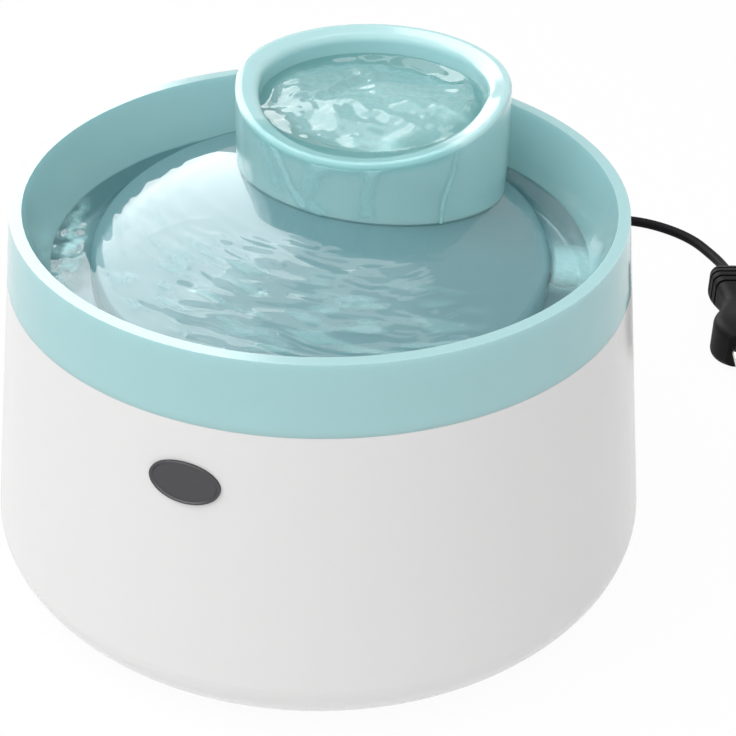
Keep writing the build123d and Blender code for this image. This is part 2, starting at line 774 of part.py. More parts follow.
# ---- filter_frame: cartridge with windows front and back and a grip on top -------------------
cartridge_width = chamber_inside - 2 * sliding_gap
cartridge_bottom = cup_floor + sliding_gap
cartridge_middle = cartridge_front + cartridge_thickness / 2
cartridge_centre = cartridge_bottom + cartridge_height / 2
window_field_width = cartridge_width - 2 * (guide_depth + frame_wall)
window_field_height = cartridge_height - 2 * window_margin
window_width = (window_field_width - (window_columns - 1) * frame_bar) / window_columns
window_height = (window_field_height - (window_rows - 1) * frame_bar) / window_rows
frame_plane = Plane.XZ.offset(-cartridge_middle)
with BuildPart() as filter_frame:
    with Locations((pump_x, cartridge_middle, cartridge_centre)):
        Box(cartridge_width, cartridge_thickness, cartridge_height)
        Box(
            cartridge_width - 2 * frame_wall,
            cartridge_thickness - 2 * frame_wall,
            cartridge_height - 2 * frame_wall,
            mode=Mode.SUBTRACT,
        )
    with BuildSketch(frame_plane):
        with Locations((pump_x, cartridge_centre)):
            column_pitch = window_width + frame_bar
            row_pitch = window_height + frame_bar
            with GridLocations(column_pitch, row_pitch, window_columns, window_rows):
                Rectangle(window_width, window_height)
    extrude(amount=cartridge_thickness, both=True, mode=Mode.SUBTRACT)
    with BuildSketch(Plane.XY.offset(cartridge_bottom + cartridge_height)):
        with Locations((pump_x, cartridge_middle)):
            Rectangle(grip_width, grip_thickness)
    extrude(amount=grip_height)
finish(filter_frame.part, "filter_frame")

# ---- filter_foam and carbon_pad: two layers inside the cartridge -----------------------------
pad_thickness = cartridge_thickness / 2 - frame_wall - fit_gap
for pad_name, pad_side in (("filter_foam", -1), ("carbon_pad", 1)):
    with BuildPart() as pad:
        pad_y = cartridge_middle + pad_side * (pad_thickness + fit_gap) / 2
        with Locations((pump_x, pad_y, cartridge_centre)):
            Box(
                cartridge_width - 2 * (frame_wall + fit_gap),
                pad_thickness,
                cartridge_height - 2 * (frame_wall + fit_gap),
            )
    finish(pad.part, pad_name)

# ---- cord_grommet: rubber plug in the base's slot with a tapered nose ------------------------
wall_lean = radians(taper_angle)
wall_curve = side_radius(cord_exit_height) - sqrt(side_radius(cord_exit_height) ** 2 - flange_width**2)
wall_plane = Plane(
    origin=(gland_x, notch_y, cord_exit_height), x_dir=(-1, 0, 0), z_dir=(0, cos(wall_lean), sin(wall_lean))
)
nose_tip_y = notch_y + grommet_flange + nose_length
with BuildPart() as cord_grommet:
    with BuildSketch(wall_plane.offset(grommet_flange)):
        Circle(flange_width / 2)
        Rectangle(flange_width, 2 * (seam_height - cord_exit_height), align=(Align.CENTER, Align.MIN))
    extrude(amount=-(base_wall + wall_curve + 2 * grommet_flange))
    split(bisect_by=Plane.XY.offset(seam_height - sliding_gap), keep=Keep.BOTTOM)
    add(base_shell.part, mode=Mode.SUBTRACT)
    with BuildSketch(Plane.XZ.offset(-(notch_y + grommet_flange / 2))):
        with Locations((gland_x, cord_exit_height)):
            Circle(nose_root_radius)
    with BuildSketch(Plane.XZ.offset(-nose_tip_y)):
        with Locations((gland_x, cord_exit_height)):
            Circle(nose_tip_radius)
    loft()
    with BuildSketch(Plane.XZ.offset(-nose_tip_y)):
        with Locations((gland_x, cord_exit_height)):
            Circle(cord_radius + fit_gap)
    extrude(amount=2 * nose_length, mode=Mode.SUBTRACT)
finish(cord_grommet.part, "cord_grommet")

# ---- mains lead: inner_cord, cord_lead and cord_tail are tubes of straight runs and tangent arcs ----


def corner_radii(points):
    """One radius for each corner, from its shorter run and its turn."""
    radii = []
    for before, here, after in zip(points, points[1:], points[2:]):
        first = Vector(*here) - Vector(*before)
        second = Vector(*after) - Vector(*here)
        half_turn = radians(first.get_angle(second) / 2)
        radii.append(bend_share * min(first.length, second.length) / tan(half_turn))
    return radii


def cord_tube(points, name):
    """Tube of the lead along its route."""
    radii = corner_radii(points)
    print(name, "radii", [round(radius, 1) for radius in radii])
    with BuildPart() as tube:
        with BuildLine():
            route = FilletPolyline(*points, radius=radii)
        with BuildSketch(Plane(origin=route @ 0, z_dir=route % 0)):
            Circle(cord_radius)
        sweep()
    section = pi * cord_radius**2
    filled = tube.part.volume / (route.length * section)
    print(name, "length", round(route.length, 1), "volume ratio", round(filled, 4))
    finish(tube.part, name)


coil_bottom_height = tie_thickness
coil_low = coil_bottom_height + cord_radius
coil_high = coil_low + (coil_layers - 1) * 2 * cord_radius
coil_entry_y = coil_y - coil_turn_radius
coil_spread = coil_turns / coil_layers * 2 * cord_radius

inner_route = [
    (gland_x, gland_y, pump_top - pump_wall),
    (gland_x, gland_y, cord_exit_height),
    (gland_x, notch_y, cord_exit_height),
]
lead_route = [
    (gland_x, notch_y, cord_exit_height),
    (gland_x, 142.0, 97.5),
    (gland_x, 157.0, 89.5),
    (gland_x, 164.5, 75.5),
    (gland_x, 165.5, 54.0),
    (6.0, 164.5, 36.0),
    (9.9, 164.0, 20.5),
    (19.1, 164.0, 8.7),
    (31.8, 164.0, coil_low),
    (coil_x, coil_entry_y, coil_low),
]
tail_route = [
    (coil_x, coil_entry_y, coil_high),
    (61.0, 164.5, 5.0),
    (81.0, 171.5, 2.25),
    (97.0, 187.0, 2.25),
    (110.0, 207.0, 2.25),
    (128.5, 222.5, 2.25),
    (150.0, 222.0, 2.25),
    (170.5, 207.5, 2.25),
    (180.0, 186.5, 2.25),
    (181.3, 172.0, 5.0),
    (plug_x, plug_rear_y, plug_axis_height),
]
cord_tube(inner_route, "inner_cord")
cord_tube(lead_route, "cord_lead")
cord_tube(tail_route, "cord_tail")

# ---- cord_coil: outer shape of the put-away turns --------------------------------------------
with BuildPart() as cord_coil:
    with BuildSketch(Plane.XY.offset(coil_bottom_height)):
        with Locations((coil_x, coil_y)):
            Circle(coil_turn_radius + cord_radius)
            Circle(coil_turn_radius - coil_spread - cord_radius, mode=Mode.SUBTRACT)
    extrude(amount=coil_layers * 2 * cord_radius)
    fillet(cord_coil.edges().filter_by(GeomType.CIRCLE), coil_edge_round)
finish(cord_coil.part, "cord_coil")

# ---- cord_tie: strap round the turns, its end lapped over the outside -----------------------
tie_inside = coil_turn_radius - coil_spread - cord_radius - tie_gap
tie_outside = coil_turn_radius + cord_radius + fit_gap
tie_span = tie_outside - tie_inside
tie_rise = coil_layers * 2 * cord_radius + fit_gap
tie_middle = coil_y + (tie_inside + tie_outside) / 2
tie_plane = Plane(
    origin=(coil_x, tie_middle, tie_thickness + tie_rise / 2), x_dir=(0, 1, 0), z_dir=(1, 0, 0)
)
tie_loop_round = tie_round + tie_thickness
with BuildPart() as cord_tie:
    with BuildSketch(tie_plane):
        RectangleRounded(tie_span + 2 * tie_thickness, tie_rise + 2 * tie_thickness, tie_loop_round)
        RectangleRounded(tie_span, tie_rise, tie_round, mode=Mode.SUBTRACT)
    extrude(amount=tie_width / 2, both=True)
    with BuildSketch(Plane.XZ.offset(-(coil_y + tie_outside + tie_thickness))):
        with Locations((coil_x, tie_thickness + tie_rise / 2)):
            RectangleRounded(tie_width, tie_rise - 2 * tie_round, tie_thickness)
    extrude(amount=-tie_thickness)
finish(cord_tie.part, "cord_tie")

# ---- plug_body: moulded contour plug, lying flat, with a ribbed grip at its rear ---------------
plug_origin = (plug_x, plug_rear_y, plug_axis_height)
plug_plan = Plane(origin=plug_origin)
plug_side = Plane(origin=plug_origin, x_dir=(0, 0, 1), z_dir=(-1, 0, 0))
plug_across = Plane(origin=plug_origin, x_dir=(1, 0, 0), z_dir=(0, -1, 0))
plug_face_y = plug_rear_y - plug_length


def plug_outline(rear, flange, waist, belly, front):
    """Outline of the plug from its rear face to its pin face, from the widths on the way."""
    with BuildSketch(Plane.XY) as outline:
        with BuildLine():
            edge = Spline(
                (rear / 2, 0),
                (flange / 2, -flange_place),
                (waist / 2, -waist_place),
                (belly / 2, -belly_place),
                (front / 2, -plug_length),
            )
            Polyline(edge @ 1, (0, -plug_length), (0, 0), edge @ 0)
        make_face()
        mirror(about=Plane.YZ)
    return outline.sketch


plug_widths = plug_outline(
    plug_rear_width, plug_flange_width, plug_waist_width, plug_belly_width, plug_front_width
)
plug_heights = plug_outline(
    plug_rear_height, plug_flange_height, plug_waist_height, plug_belly_height, plug_front_height
)
with BuildPart() as plug_body:
    with BuildSketch(plug_plan):
        add(plug_widths)
    extrude(amount=plug_belly_height, both=True)
    with BuildSketch(plug_side):
        add(plug_heights)
    extrude(amount=plug_belly_width, both=True, mode=Mode.INTERSECT)
    long_edges = plug_body.edges().filter_by(lambda edge: edge.length > plug_length / 2)
    fillet(long_edges, plug_edge_round)
    for rib in range(rib_count):
        with BuildSketch(plug_across.offset(rib_start + rib * rib_pitch)):
            Rectangle(plug_belly_width, plug_belly_height)
            RectangleRounded(rib_core_width, rib_core_height, plug_edge_round, mode=Mode.SUBTRACT)
        extrude(amount=rib_groove, mode=Mode.SUBTRACT)
finish(plug_body.part, "plug_body")

# ---- plug_pins: two round brass pins ---------------------------------------------------------
with BuildPart() as plug_pins:
    with BuildSketch(Plane.XZ.offset(-plug_face_y)):
        with Locations((plug_x, plug_axis_height)):
            with GridLocations(pin_pitch, 1, 2, 1):
                Circle(pin_radius)
    extrude(amount=pin_length)
    fillet(plug_pins.edges().group_by(Axis.Y)[0], pin_radius / 2)
finish(plug_pins.part, "plug_pins")
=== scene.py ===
from math import atan2, cos, erf, exp, hypot, log1p, pi, radians, sin, sqrt

import bpy
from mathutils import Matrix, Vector, noise


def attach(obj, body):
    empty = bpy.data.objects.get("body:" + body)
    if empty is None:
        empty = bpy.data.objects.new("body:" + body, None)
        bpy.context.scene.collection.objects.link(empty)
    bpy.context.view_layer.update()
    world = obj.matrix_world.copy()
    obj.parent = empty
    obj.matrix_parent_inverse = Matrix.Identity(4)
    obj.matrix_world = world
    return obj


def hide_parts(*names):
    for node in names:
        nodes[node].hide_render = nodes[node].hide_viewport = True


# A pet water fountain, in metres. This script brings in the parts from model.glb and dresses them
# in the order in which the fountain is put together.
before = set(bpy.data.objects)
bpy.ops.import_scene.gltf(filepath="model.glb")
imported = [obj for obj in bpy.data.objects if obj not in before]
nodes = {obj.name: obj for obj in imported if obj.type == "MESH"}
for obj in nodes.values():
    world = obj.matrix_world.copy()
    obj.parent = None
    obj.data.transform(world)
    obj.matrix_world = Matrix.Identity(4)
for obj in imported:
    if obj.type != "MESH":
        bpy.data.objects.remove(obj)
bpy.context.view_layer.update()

# ---- Base shell -------------------------------------------------------------------------------
# The reservoir is one injection moulding in glossy white plastic. Its outside is polished, with the
# faint waviness of a large moulding, and a slot at the back takes the lead's grommet.


def moulded(
    name, colour, roughness, mottle=0.03, cloud_size=0.02, grain=0.03, grain_size=0.0006, specular=0.5
):
    """Plastic or rubber: cloudy colour and gloss, and a fine grain in its surface."""
    gloss_spread = 0.15
    material = bpy.data.materials.new(name)
    material.use_nodes = True
    tree = material.node_tree
    shader = tree.nodes["Principled BSDF"]
    shader.inputs["Specular IOR Level"].default_value = specular
    place = tree.nodes.new("ShaderNodeTexCoord")
    cloud = tree.nodes.new("ShaderNodeTexNoise")
    cloud.inputs["Scale"].default_value = 1.0 / cloud_size
    cloud.inputs["Detail"].default_value = 3.0
    tree.links.new(place.outputs["Object"], cloud.inputs["Vector"])
    tone = tree.nodes.new("ShaderNodeMix")
    tone.data_type = "RGBA"
    tone.inputs["A"].default_value = (*[c * (1 - mottle) for c in colour], 1)
    tone.inputs["B"].default_value = (*[min(c * (1 + mottle), 1) for c in colour], 1)
    tree.links.new(cloud.outputs["Fac"], tone.inputs["Factor"])
    tree.links.new(tone.outputs["Result"], shader.inputs["Base Color"])
    gloss = tree.nodes.new("ShaderNodeMapRange")
    gloss.inputs["To Min"].default_value = roughness * (1 - gloss_spread)
    gloss.inputs["To Max"].default_value = roughness * (1 + gloss_spread)
    tree.links.new(cloud.outputs["Fac"], gloss.inputs["Value"])
    tree.links.new(gloss.outputs["Result"], shader.inputs["Roughness"])
    fine = tree.nodes.new("ShaderNodeTexNoise")
    fine.inputs["Scale"].default_value = 1.0 / grain_size
    fine.inputs["Detail"].default_value = 2.0
    tree.links.new(place.outputs["Object"], fine.inputs["Vector"])
    bump = tree.nodes.new("ShaderNodeBump")
    bump.inputs["Strength"].default_value = grain
    bump.inputs["Distance"].default_value = grain_size / 3
    tree.links.new(fine.outputs["Fac"], bump.inputs["Height"])
    tree.links.new(bump.outputs["Normal"], shader.inputs["Normal"])
    return material


def finish_node(name, material):
    """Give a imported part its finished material."""
    nodes[name].data.materials.clear()
    nodes[name].data.materials.append(material)


white_gloss = moulded(
    "white_gloss",
    (0.80, 0.80, 0.797),
    0.24,
    mottle=0.006,
    cloud_size=0.05,
    grain=0.02,
    grain_size=0.012,
    specular=0.35,
)
finish_node("base_shell", white_gloss)

# ---- Front plate ------------------------------------------------------------------------------
# A small oval plate of dark satin metal, stamped with a raised border and left bare. It is bent to
# the base's taper and glued on, left of the middle in front. These lengths are in millimetres.
plate_half_width = 11.6
plate_half_height = 6.9
plate_place = radians(-112.2)
plate_height = 92.2
plate_thickness = 0.7
belly_radius = 113.2
belly_height = 23.0
base_taper = 13.2 / 112.5

# The stamped face from its edge in: how much each step shrinks, and how far it goes out.
plate_steps = [
    (0.975, 0.15),
    (0.94, 0.0),
    (0.965, -0.38),
    (0.80, 0.0),
    (0.75, 0.0),
    (0.66, 0.0),
    (0.5, 0.0),
]
bpy.ops.object.select_all(action="DESELECT")
bpy.ops.mesh.primitive_circle_add(vertices=96, radius=1.0, fill_type="NGON", location=(0, 0, 0))
front_plate = bpy.context.object
front_plate.name = "front_plate"
bpy.ops.object.mode_set(mode="EDIT")
bpy.ops.mesh.select_mode(type="FACE")
bpy.ops.mesh.select_all(action="SELECT")
bpy.ops.transform.resize(value=(plate_half_width, plate_half_height, 1))
bpy.ops.mesh.extrude_region_move(TRANSFORM_OT_translate={"value": (0, 0, plate_thickness)})
for shrink, step_out in plate_steps:
    bpy.ops.mesh.extrude_region_move(TRANSFORM_OT_translate={"value": (0, 0, step_out)})
    bpy.ops.transform.resize(value=(shrink, shrink, 1))
bpy.ops.mesh.select_all(action="SELECT")
bpy.ops.mesh.normals_make_consistent(inside=False)
bpy.ops.object.mode_set(mode="OBJECT")
for vertex in front_plate.data.vertices:
    across, up, out = vertex.co
    height = plate_height + up
    radius = belly_radius - base_taper * (height - belly_height) + out
    angle = plate_place + across / radius
    vertex.co = (radius * cos(angle) / 1000, radius * sin(angle) / 1000, height / 1000)
bpy.ops.object.shade_smooth_by_angle(angle=radians(35))
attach(front_plate, "base")


def ground_metal(name, colour, roughness, grain_lines):
    """Bare or plated metal, with fine tool marks drawn out along one direction."""
    darkest, lightest = 0.82, 1.12
    gloss_spread = 0.3
    line_strength = 0.05
    line_depth = 0.0001
    material = bpy.data.materials.new(name)
    material.use_nodes = True
    tree = material.node_tree
    shader = tree.nodes["Principled BSDF"]
    shader.inputs["Metallic"].default_value = 1.0
    place = tree.nodes.new("ShaderNodeTexCoord")
    draw = tree.nodes.new("ShaderNodeMapping")
    draw.inputs["Scale"].default_value = grain_lines
    tree.links.new(place.outputs["Object"], draw.inputs["Vector"])
    marks = tree.nodes.new("ShaderNodeTexNoise")
    marks.inputs["Scale"].default_value = 1.0
    marks.inputs["Detail"].default_value = 4.0
    tree.links.new(draw.outputs["Vector"], marks.inputs["Vector"])
    tone = tree.nodes.new("ShaderNodeMix")
    tone.data_type = "RGBA"
    tone.inputs["A"].default_value = (*[c * darkest for c in colour], 1)
    tone.inputs["B"].default_value = (*[min(c * lightest, 1) for c in colour], 1)
    tree.links.new(marks.outputs["Fac"], tone.inputs["Factor"])
    tree.links.new(tone.outputs["Result"], shader.inputs["Base Color"])
    gloss = tree.nodes.new("ShaderNodeMapRange")
    gloss.inputs["To Min"].default_value = roughness * (1 - gloss_spread)
    gloss.inputs["To Max"].default_value = roughness * (1 + gloss_spread)
    tree.links.new(marks.outputs["Fac"], gloss.inputs["Value"])
    tree.links.new(gloss.outputs["Result"], shader.inputs["Roughness"])
    bump = tree.nodes.new("ShaderNodeBump")
    bump.inputs["Strength"].default_value = line_strength
    bump.inputs["Distance"].default_value = line_depth
    tree.links.new(marks.outputs["Fac"], bump.inputs["Height"])
    tree.links.new(bump.outputs["Normal"], shader.inputs["Normal"])
    return material


dark_satin = ground_metal("dark_satin_metal", (0.10, 0.10, 0.105), 0.42, (400, 400, 5000))
front_plate.data.materials.append(dark_satin)

# ---- Rubber feet ------------------------------------------------------------------------------
# Four round pads of soft grey rubber, pressed into recesses under the base. Their faces are matt
# from the mould and pick up a little dust.
foot_rubber = moulded(
    "foot_rubber", (0.27, 0.27, 0.265), 0.75, mottle=0.14, cloud_size=0.004, grain=0.35, grain_size=0.0005
)
finish_node("rubber_feet", foot_rubber)

# ---- Filter chamber ---------------------------------------------------------------------------
# An open box in white plastic that stands on the reservoir's floor and parts the pump from the
# rest of the water. It has a satin mould finish.
chamber_white = moulded(
    "chamber_white", (0.76, 0.77, 0.765), 0.38, mottle=0.05, cloud_size=0.015, grain=0.12, grain_size=0.0008
)
finish_node("filter_chamber", chamber_white)

# ---- Suction cups -----------------------------------------------------------------------------
# Four cups of clear soft vinyl that hold the pump down. They are glossy, slightly cloudy mouldings
# that snap into bosses under the pump.


def let_light_in(material, weight, depth, colours=(1.0, 0.2, 0.1)):
    """Let light spread under a piece's skin, by default further in red than in green and blue."""
    shader = material.node_tree.nodes["Principled BSDF"]
    shader.inputs["Subsurface Weight"].default_value = weight
    shader.inputs["Subsurface Radius"].default_value = colours
    shader.inputs["Subsurface Scale"].default_value = depth


cup_vinyl = moulded(
    "cup_vinyl", (0.62, 0.62, 0.60), 0.22, mottle=0.07, cloud_size=0.003, grain=0.04, grain_size=0.0007
)
let_light_in(cup_vinyl, 0.3, 0.002)
finish_node("suction_cups", cup_vinyl)

# ---- Pump body --------------------------------------------------------------------------------
# The pump's housing is one black moulding with the impeller's chamber in front, the motor's pocket
# behind and the outlet nozzle on top. Its outside has a fine spark-eroded finish.
pump_black = moulded(
    "pump_black", (0.022, 0.022, 0.024), 0.46, mottle=0.12, cloud_size=0.01, grain=0.30, grain_size=0.0004
)
finish_node("pump_body", pump_black)

# ---- Stator core ------------------------------------------------------------------------------
# A bridge of thin electrical steel sheets, stacked and riveted. Each sheet's edge shows as a line,
# dull grey with a blue tint from the anneal.
sheet_thickness = 0.0005


def rounded_ridges(tree, direction, pitch, distortion=0.0):
    """A pattern of ridges side by side, as sheets, wires or threads make, each one pitch wide."""
    place = tree.nodes.new("ShaderNodeTexCoord")
    ridges = tree.nodes.new("ShaderNodeTexWave")
    ridges.wave_type = "BANDS"
    ridges.bands_direction = direction
    ridges.inputs["Scale"].default_value = 2 * pi / (20 * pitch)
    ridges.inputs["Distortion"].default_value = distortion
    ridges.inputs["Detail Scale"].default_value = 2.0
    tree.links.new(place.outputs["Object"], ridges.inputs["Vector"])
    return ridges.outputs["Fac"]


def raise_surface(tree, pattern, strength, depth):
    """Bump a material's surface by a pattern, in place of its own grain."""
    bump = tree.nodes.new("ShaderNodeBump")
    bump.inputs["Strength"].default_value = strength
    bump.inputs["Distance"].default_value = depth
    tree.links.new(pattern, bump.inputs["Height"])
    tree.links.new(bump.outputs["Normal"], tree.nodes["Principled BSDF"].inputs["Normal"])


core_steel = ground_metal("core_steel", (0.32, 0.33, 0.36), 0.45, (900, 60, 900))
tree = core_steel.node_tree
raise_surface(tree, rounded_ridges(tree, "Y", sheet_thickness), 0.6, 0.0001)
finish_node("stator_core", core_steel)

# ---- Stator coil ------------------------------------------------------------------------------
# Enamelled copper wire, wound in close turns round the middle of the core. The enamel gives it a
# clear reddish gloss over the metal.
wire_diameter = 0.0004
coil_copper = ground_metal("coil_copper", (0.66, 0.27, 0.12), 0.30, (500, 500, 500))
tree = coil_copper.node_tree
tree.nodes["Principled BSDF"].inputs["Coat Weight"].default_value = 0.6
raise_surface(tree, rounded_ridges(tree, "X", wire_diameter), 0.9, 0.00012)
finish_node("stator_coil", coil_copper)

# ---- Resin fill -------------------------------------------------------------------------------
# Black epoxy poured over the core and coil until the pocket is full. It sets to a glossy face with
# slow ripples in it.
resin_black = moulded(
    "resin_black", (0.016, 0.016, 0.018), 0.12, mottle=0.10, cloud_size=0.008, grain=0.15, grain_size=0.006
)
finish_node("resin_fill", resin_black)

# ---- Rear and front bushes --------------------------------------------------------------------
# Two small cups of black rubber, one in the bottom of the rotor's well and one in the impeller
# cover. They hold the shaft's ends and soak up its hum.
bush_rubber = moulded(
    "bush_rubber", (0.028, 0.028, 0.028), 0.62, mottle=0.15, cloud_size=0.002, grain=0.25, grain_size=0.0003
)
finish_node("rear_bush", bush_rubber)
finish_node("front_bush", bush_rubber)

# ---- Rotor shaft ------------------------------------------------------------------------------
# A ground steel pin on which the magnet and the impeller turn. The grinding leaves fine rings
# round it.
shaft_steel = ground_metal("shaft_steel", (0.62, 0.62, 0.63), 0.18, (300, 9000, 300))
finish_node("rotor_shaft", shaft_steel)

# ---- Rotor magnet -----------------------------------------------------------------------------
# A cylinder of sintered ferrite, ground to size. It is dark grey, dull and slightly speckled.
ferrite = moulded(
    "ferrite", (0.055, 0.055, 0.060), 0.48, mottle=0.30, cloud_size=0.0006, grain=0.20, grain_size=0.0003
)
finish_node("rotor_magnet", ferrite)

# ---- Impeller ---------------------------------------------------------------------------------
# White moulded hub, back disc and straight paddles, pressed on the magnet's sleeve. Its flow lines
# show as a faint cloudiness.
impeller_white = moulded(
    "impeller_white", (0.80, 0.80, 0.78), 0.30, mottle=0.05, cloud_size=0.004, grain=0.06, grain_size=0.0005
)
finish_node("impeller", impeller_white)

# ---- Impeller cover ---------------------------------------------------------------------------
# A round black plate that closes the chamber, with the inlet eye and three spokes round the front
# bush. It has the same spark-eroded finish as the housing, a little coarser.
cover_black = moulded(
    "cover_black", (0.024, 0.024, 0.026), 0.50, mottle=0.10, cloud_size=0.006, grain=0.35, grain_size=0.0005
)
finish_node("impeller_cover", cover_black)

# ---- Intake grille ----------------------------------------------------------------------------
# A black cap with slots that keeps hair out of the pump. It clips over the housing's front and
# carries the rails of the flow regulator.
grille_black = moulded(
    "grille_black", (0.020, 0.020, 0.022), 0.42,
    mottle=0.10, cloud_size=0.012, grain=0.25, grain_size=0.0004
)
finish_node("intake_grille", grille_black)

# ---- Flow regulator ---------------------------------------------------------------------------
# A small grey slider that covers more or less of the intake. It is satin plastic, polished where it
# runs in its rails.
slider_grey = moulded(
    "slider_grey", (0.33, 0.34, 0.35), 0.36, mottle=0.06, cloud_size=0.005, grain=0.15, grain_size=0.0004
)
finish_node("flow_regulator", slider_grey)

# ---- Lead's gland -----------------------------------------------------------------------------
# A black rubber gland that seals the lead where it leaves the pump. It is matt, with a slight bloom.
gland_rubber = moulded(
    "gland_rubber", (0.030, 0.030, 0.031), 0.60,
    mottle=0.20, cloud_size=0.003, grain=0.25, grain_size=0.0003
)
finish_node("cord_gland", gland_rubber)

# ---- Lead inside the base ---------------------------------------------------------------------
# The same round black flex as outside, from the gland up to the slot in the base's wall. Its sheath
# has the dull shine of extruded PVC.
inner_pvc = moulded(
    "inner_pvc", (0.012, 0.012, 0.013), 0.36, mottle=0.12, cloud_size=0.006, grain=0.12, grain_size=0.0005
)
finish_node("inner_cord", inner_pvc)

# ---- Lead's grommet ---------------------------------------------------------------------------
# Black rubber plug in the base's slot, with a tapered nose that keeps the lead from kinking. It is
# moulded on the lead and a little duller than it.
grommet_rubber = moulded(
    "grommet_rubber", (0.016, 0.016, 0.017), 0.52,
    mottle=0.15, cloud_size=0.005, grain=0.25, grain_size=0.0004
)
finish_node("cord_grommet", grommet_rubber)

# ---- Riser tube -------------------------------------------------------------------------------
# Stiff milky tube, pushed over the pump's nozzle and reaching up into the tower. It is extruded,
# with a faint cloudiness in it.
riser_milky = moulded(
    "riser_milky", (0.66, 0.67, 0.65), 0.20, mottle=0.05, cloud_size=0.010, grain=0.05, grain_size=0.0010
)
let_light_in(riser_milky, 0.4, 0.003)
finish_node("riser_tube", riser_milky)

# ---- Filter foam ------------------------------------------------------------------------------
# A pad of open cell foam, cut from a block, that catches hair and food. Its cells are about one and
# a half millimetres wide, and their hollows are painted darker as painted shade.
cell_size = 0.0015
cell_depth = 0.0008
cell_wall = 0.35
painted_pore_shade = (0.22, 0.23, 0.21)
foam_colour = (0.66, 0.67, 0.63)
foam_grey = moulded("foam_grey", foam_colour, 0.95, cloud_size=0.003)
tree = foam_grey.node_tree
place = tree.nodes.new("ShaderNodeTexCoord")
cells = tree.nodes.new("ShaderNodeTexVoronoi")
cells.feature = "DISTANCE_TO_EDGE"
cells.inputs["Scale"].default_value = 1.0 / cell_size
tree.links.new(place.outputs["Object"], cells.inputs["Vector"])
pores = tree.nodes.new("ShaderNodeMapRange")
pores.inputs["From Max"].default_value = cell_wall
pores.inputs["To Min"].default_value = 1.0
pores.inputs["To Max"].default_value = 0.0
tree.links.new(cells.outputs["Distance"], pores.inputs["Value"])
raise_surface(tree, pores.outputs["Result"], 1.0, cell_depth)
# The pores' hollows get a darker colour: painted shade.
painted_shade_mix = tree.nodes.new("ShaderNodeMix")
painted_shade_mix.data_type = "RGBA"
painted_shade_mix.inputs["A"].default_value = (*painted_pore_shade, 1)
painted_shade_mix.inputs["B"].default_value = (*foam_colour, 1)
tree.links.new(pores.outputs["Result"], painted_shade_mix.inputs["Factor"])
tree.links.new(painted_shade_mix.outputs["Result"], tree.nodes["Principled BSDF"].inputs["Base Color"])
finish_node("filter_foam", foam_grey)

# ---- Carbon pad -------------------------------------------------------------------------------
# Black cloth filled with charcoal, behind the foam. A plain weave shows on it, furred over and with
# pale specks.
thread_pitch = 0.0011
carbon_cloth = moulded("carbon_cloth", (0.03, 0.03, 0.03), 0.92, mottle=0.4, cloud_size=0.0012)
tree = carbon_cloth.node_tree
cross = tree.nodes.new("ShaderNodeMath")
cross.operation = "MULTIPLY"
tree.links.new(rounded_ridges(tree, "X", thread_pitch, distortion=1.2), cross.inputs[0])
tree.links.new(rounded_ridges(tree, "Z", thread_pitch, distortion=1.2), cross.inputs[1])
raise_surface(tree, cross.outputs[0], 1.0, 0.0004)
finish_node("carbon_pad", carbon_cloth)

# ---- Filter frame -----------------------------------------------------------------------------
# The cartridge that holds the two pads: pale grey plastic with windows front and back and a grip on
# top. It slides down into the chamber's guides.
frame_grey = moulded(
    "frame_grey", (0.66, 0.69, 0.70), 0.34, mottle=0.05, cloud_size=0.012, grain=0.12, grain_size=0.0006
)
finish_node("filter_frame", frame_grey)

# ---- Drinking bowl ----------------------------------------------------------------------------
# The upper moulding, in glossy pale mint plastic: the flush outer band, the rounded rim, the moat
# and the domed platform with its drain hole. It lifts off the base for cleaning.
bowl_mint = moulded(
    "bowl_mint", (0.395, 0.65, 0.668), 0.13, mottle=0.012, cloud_size=0.06, grain=0.012, grain_size=0.010
)
let_light_in(bowl_mint, 0.5, 0.005, colours=(1.0, 1.0, 1.0))
finish_node("drinking_bowl", bowl_mint)

# ---- Fountain tower ---------------------------------------------------------------------------
# A cylinder in the same mint plastic that stands on the platform. Its colour is the bowl's mint
# made lighter, as painted light on the tower's walls. Water wells up in the cup in its top and runs
# out where its rim dips.
# A lighter copy of the bowl's mint: painted light on the tower.
tower_mint_painted_lighter = moulded(
    "tower_mint_painted_lighter", (0.455, 0.725, 0.74), 0.11, mottle=0.012, cloud_size=0.05, grain=0.012, grain_size=0.008
)
let_light_in(tower_mint_painted_lighter, 0.5, 0.005, colours=(1.0, 1.0, 1.0))
finish_node("fountain_tower", tower_mint_painted_lighter)

# ---- Riser seal -------------------------------------------------------------------------------
# A soft ring of translucent silicone between the tower's spigot and the riser tube. It stays in the
# spigot when the bowl is lifted.
seal_silicone = moulded(
    "seal_silicone", (0.58, 0.60, 0.58), 0.33, mottle=0.06, cloud_size=0.004, grain=0.08, grain_size=0.0004
)
finish_node("riser_seal", seal_silicone)

# ---- Water in the bowl ------------------------------------------------------------------------
# Clear water spreads over the platform as a thin sheet, leaves it over its rounded edge and fills
# the moat. It runs off in long curved ripples and froths where it drains. Lengths for the water
# are in millimetres.
tower = (17.2, 34.5)
tower_radius = 46.2
spout = radians(-105)
platform_radius = 76.0
dome_radius = 191.8
dome_rise = 15.7
edge_height = 116.8
tilt_slope = 0.0945
sheet_depth = 0.8
sheet_edge = (70, 74)
sheet_thinning = 0.4
edge_start = 3.4
edge_fall = 0.13
moat_level = 115.4
moat_radius = 88.6
meniscus = 1.1
meniscus_limit = 30.0
calm_share = 0.16
ring_bend = 2.6
ring_spacing = 7.4
ring_rise = 0.14
streak_rise = 0.64
fine_rise = 0.22
long_ripple_share = 0.6
stirred_rise = 0.7
drain_froth_place = (80.9, -11.7)
drain_froth_radius = 14
drain_froth = 0.62
streak_froth = 0.30

# The moat is stirred up on its left: place, half width and half depth of the waves and the froth.
stirred_waves = ((-83, -1), 6, 26)
stirred_froth = ((-82.5, -1), 4.0, 24)

# Round swells over all of the bowl: rise, size and seed.
bowl_swells = [(0.10, 11.0, 6.1), (0.035, 4.5, 2.2)]

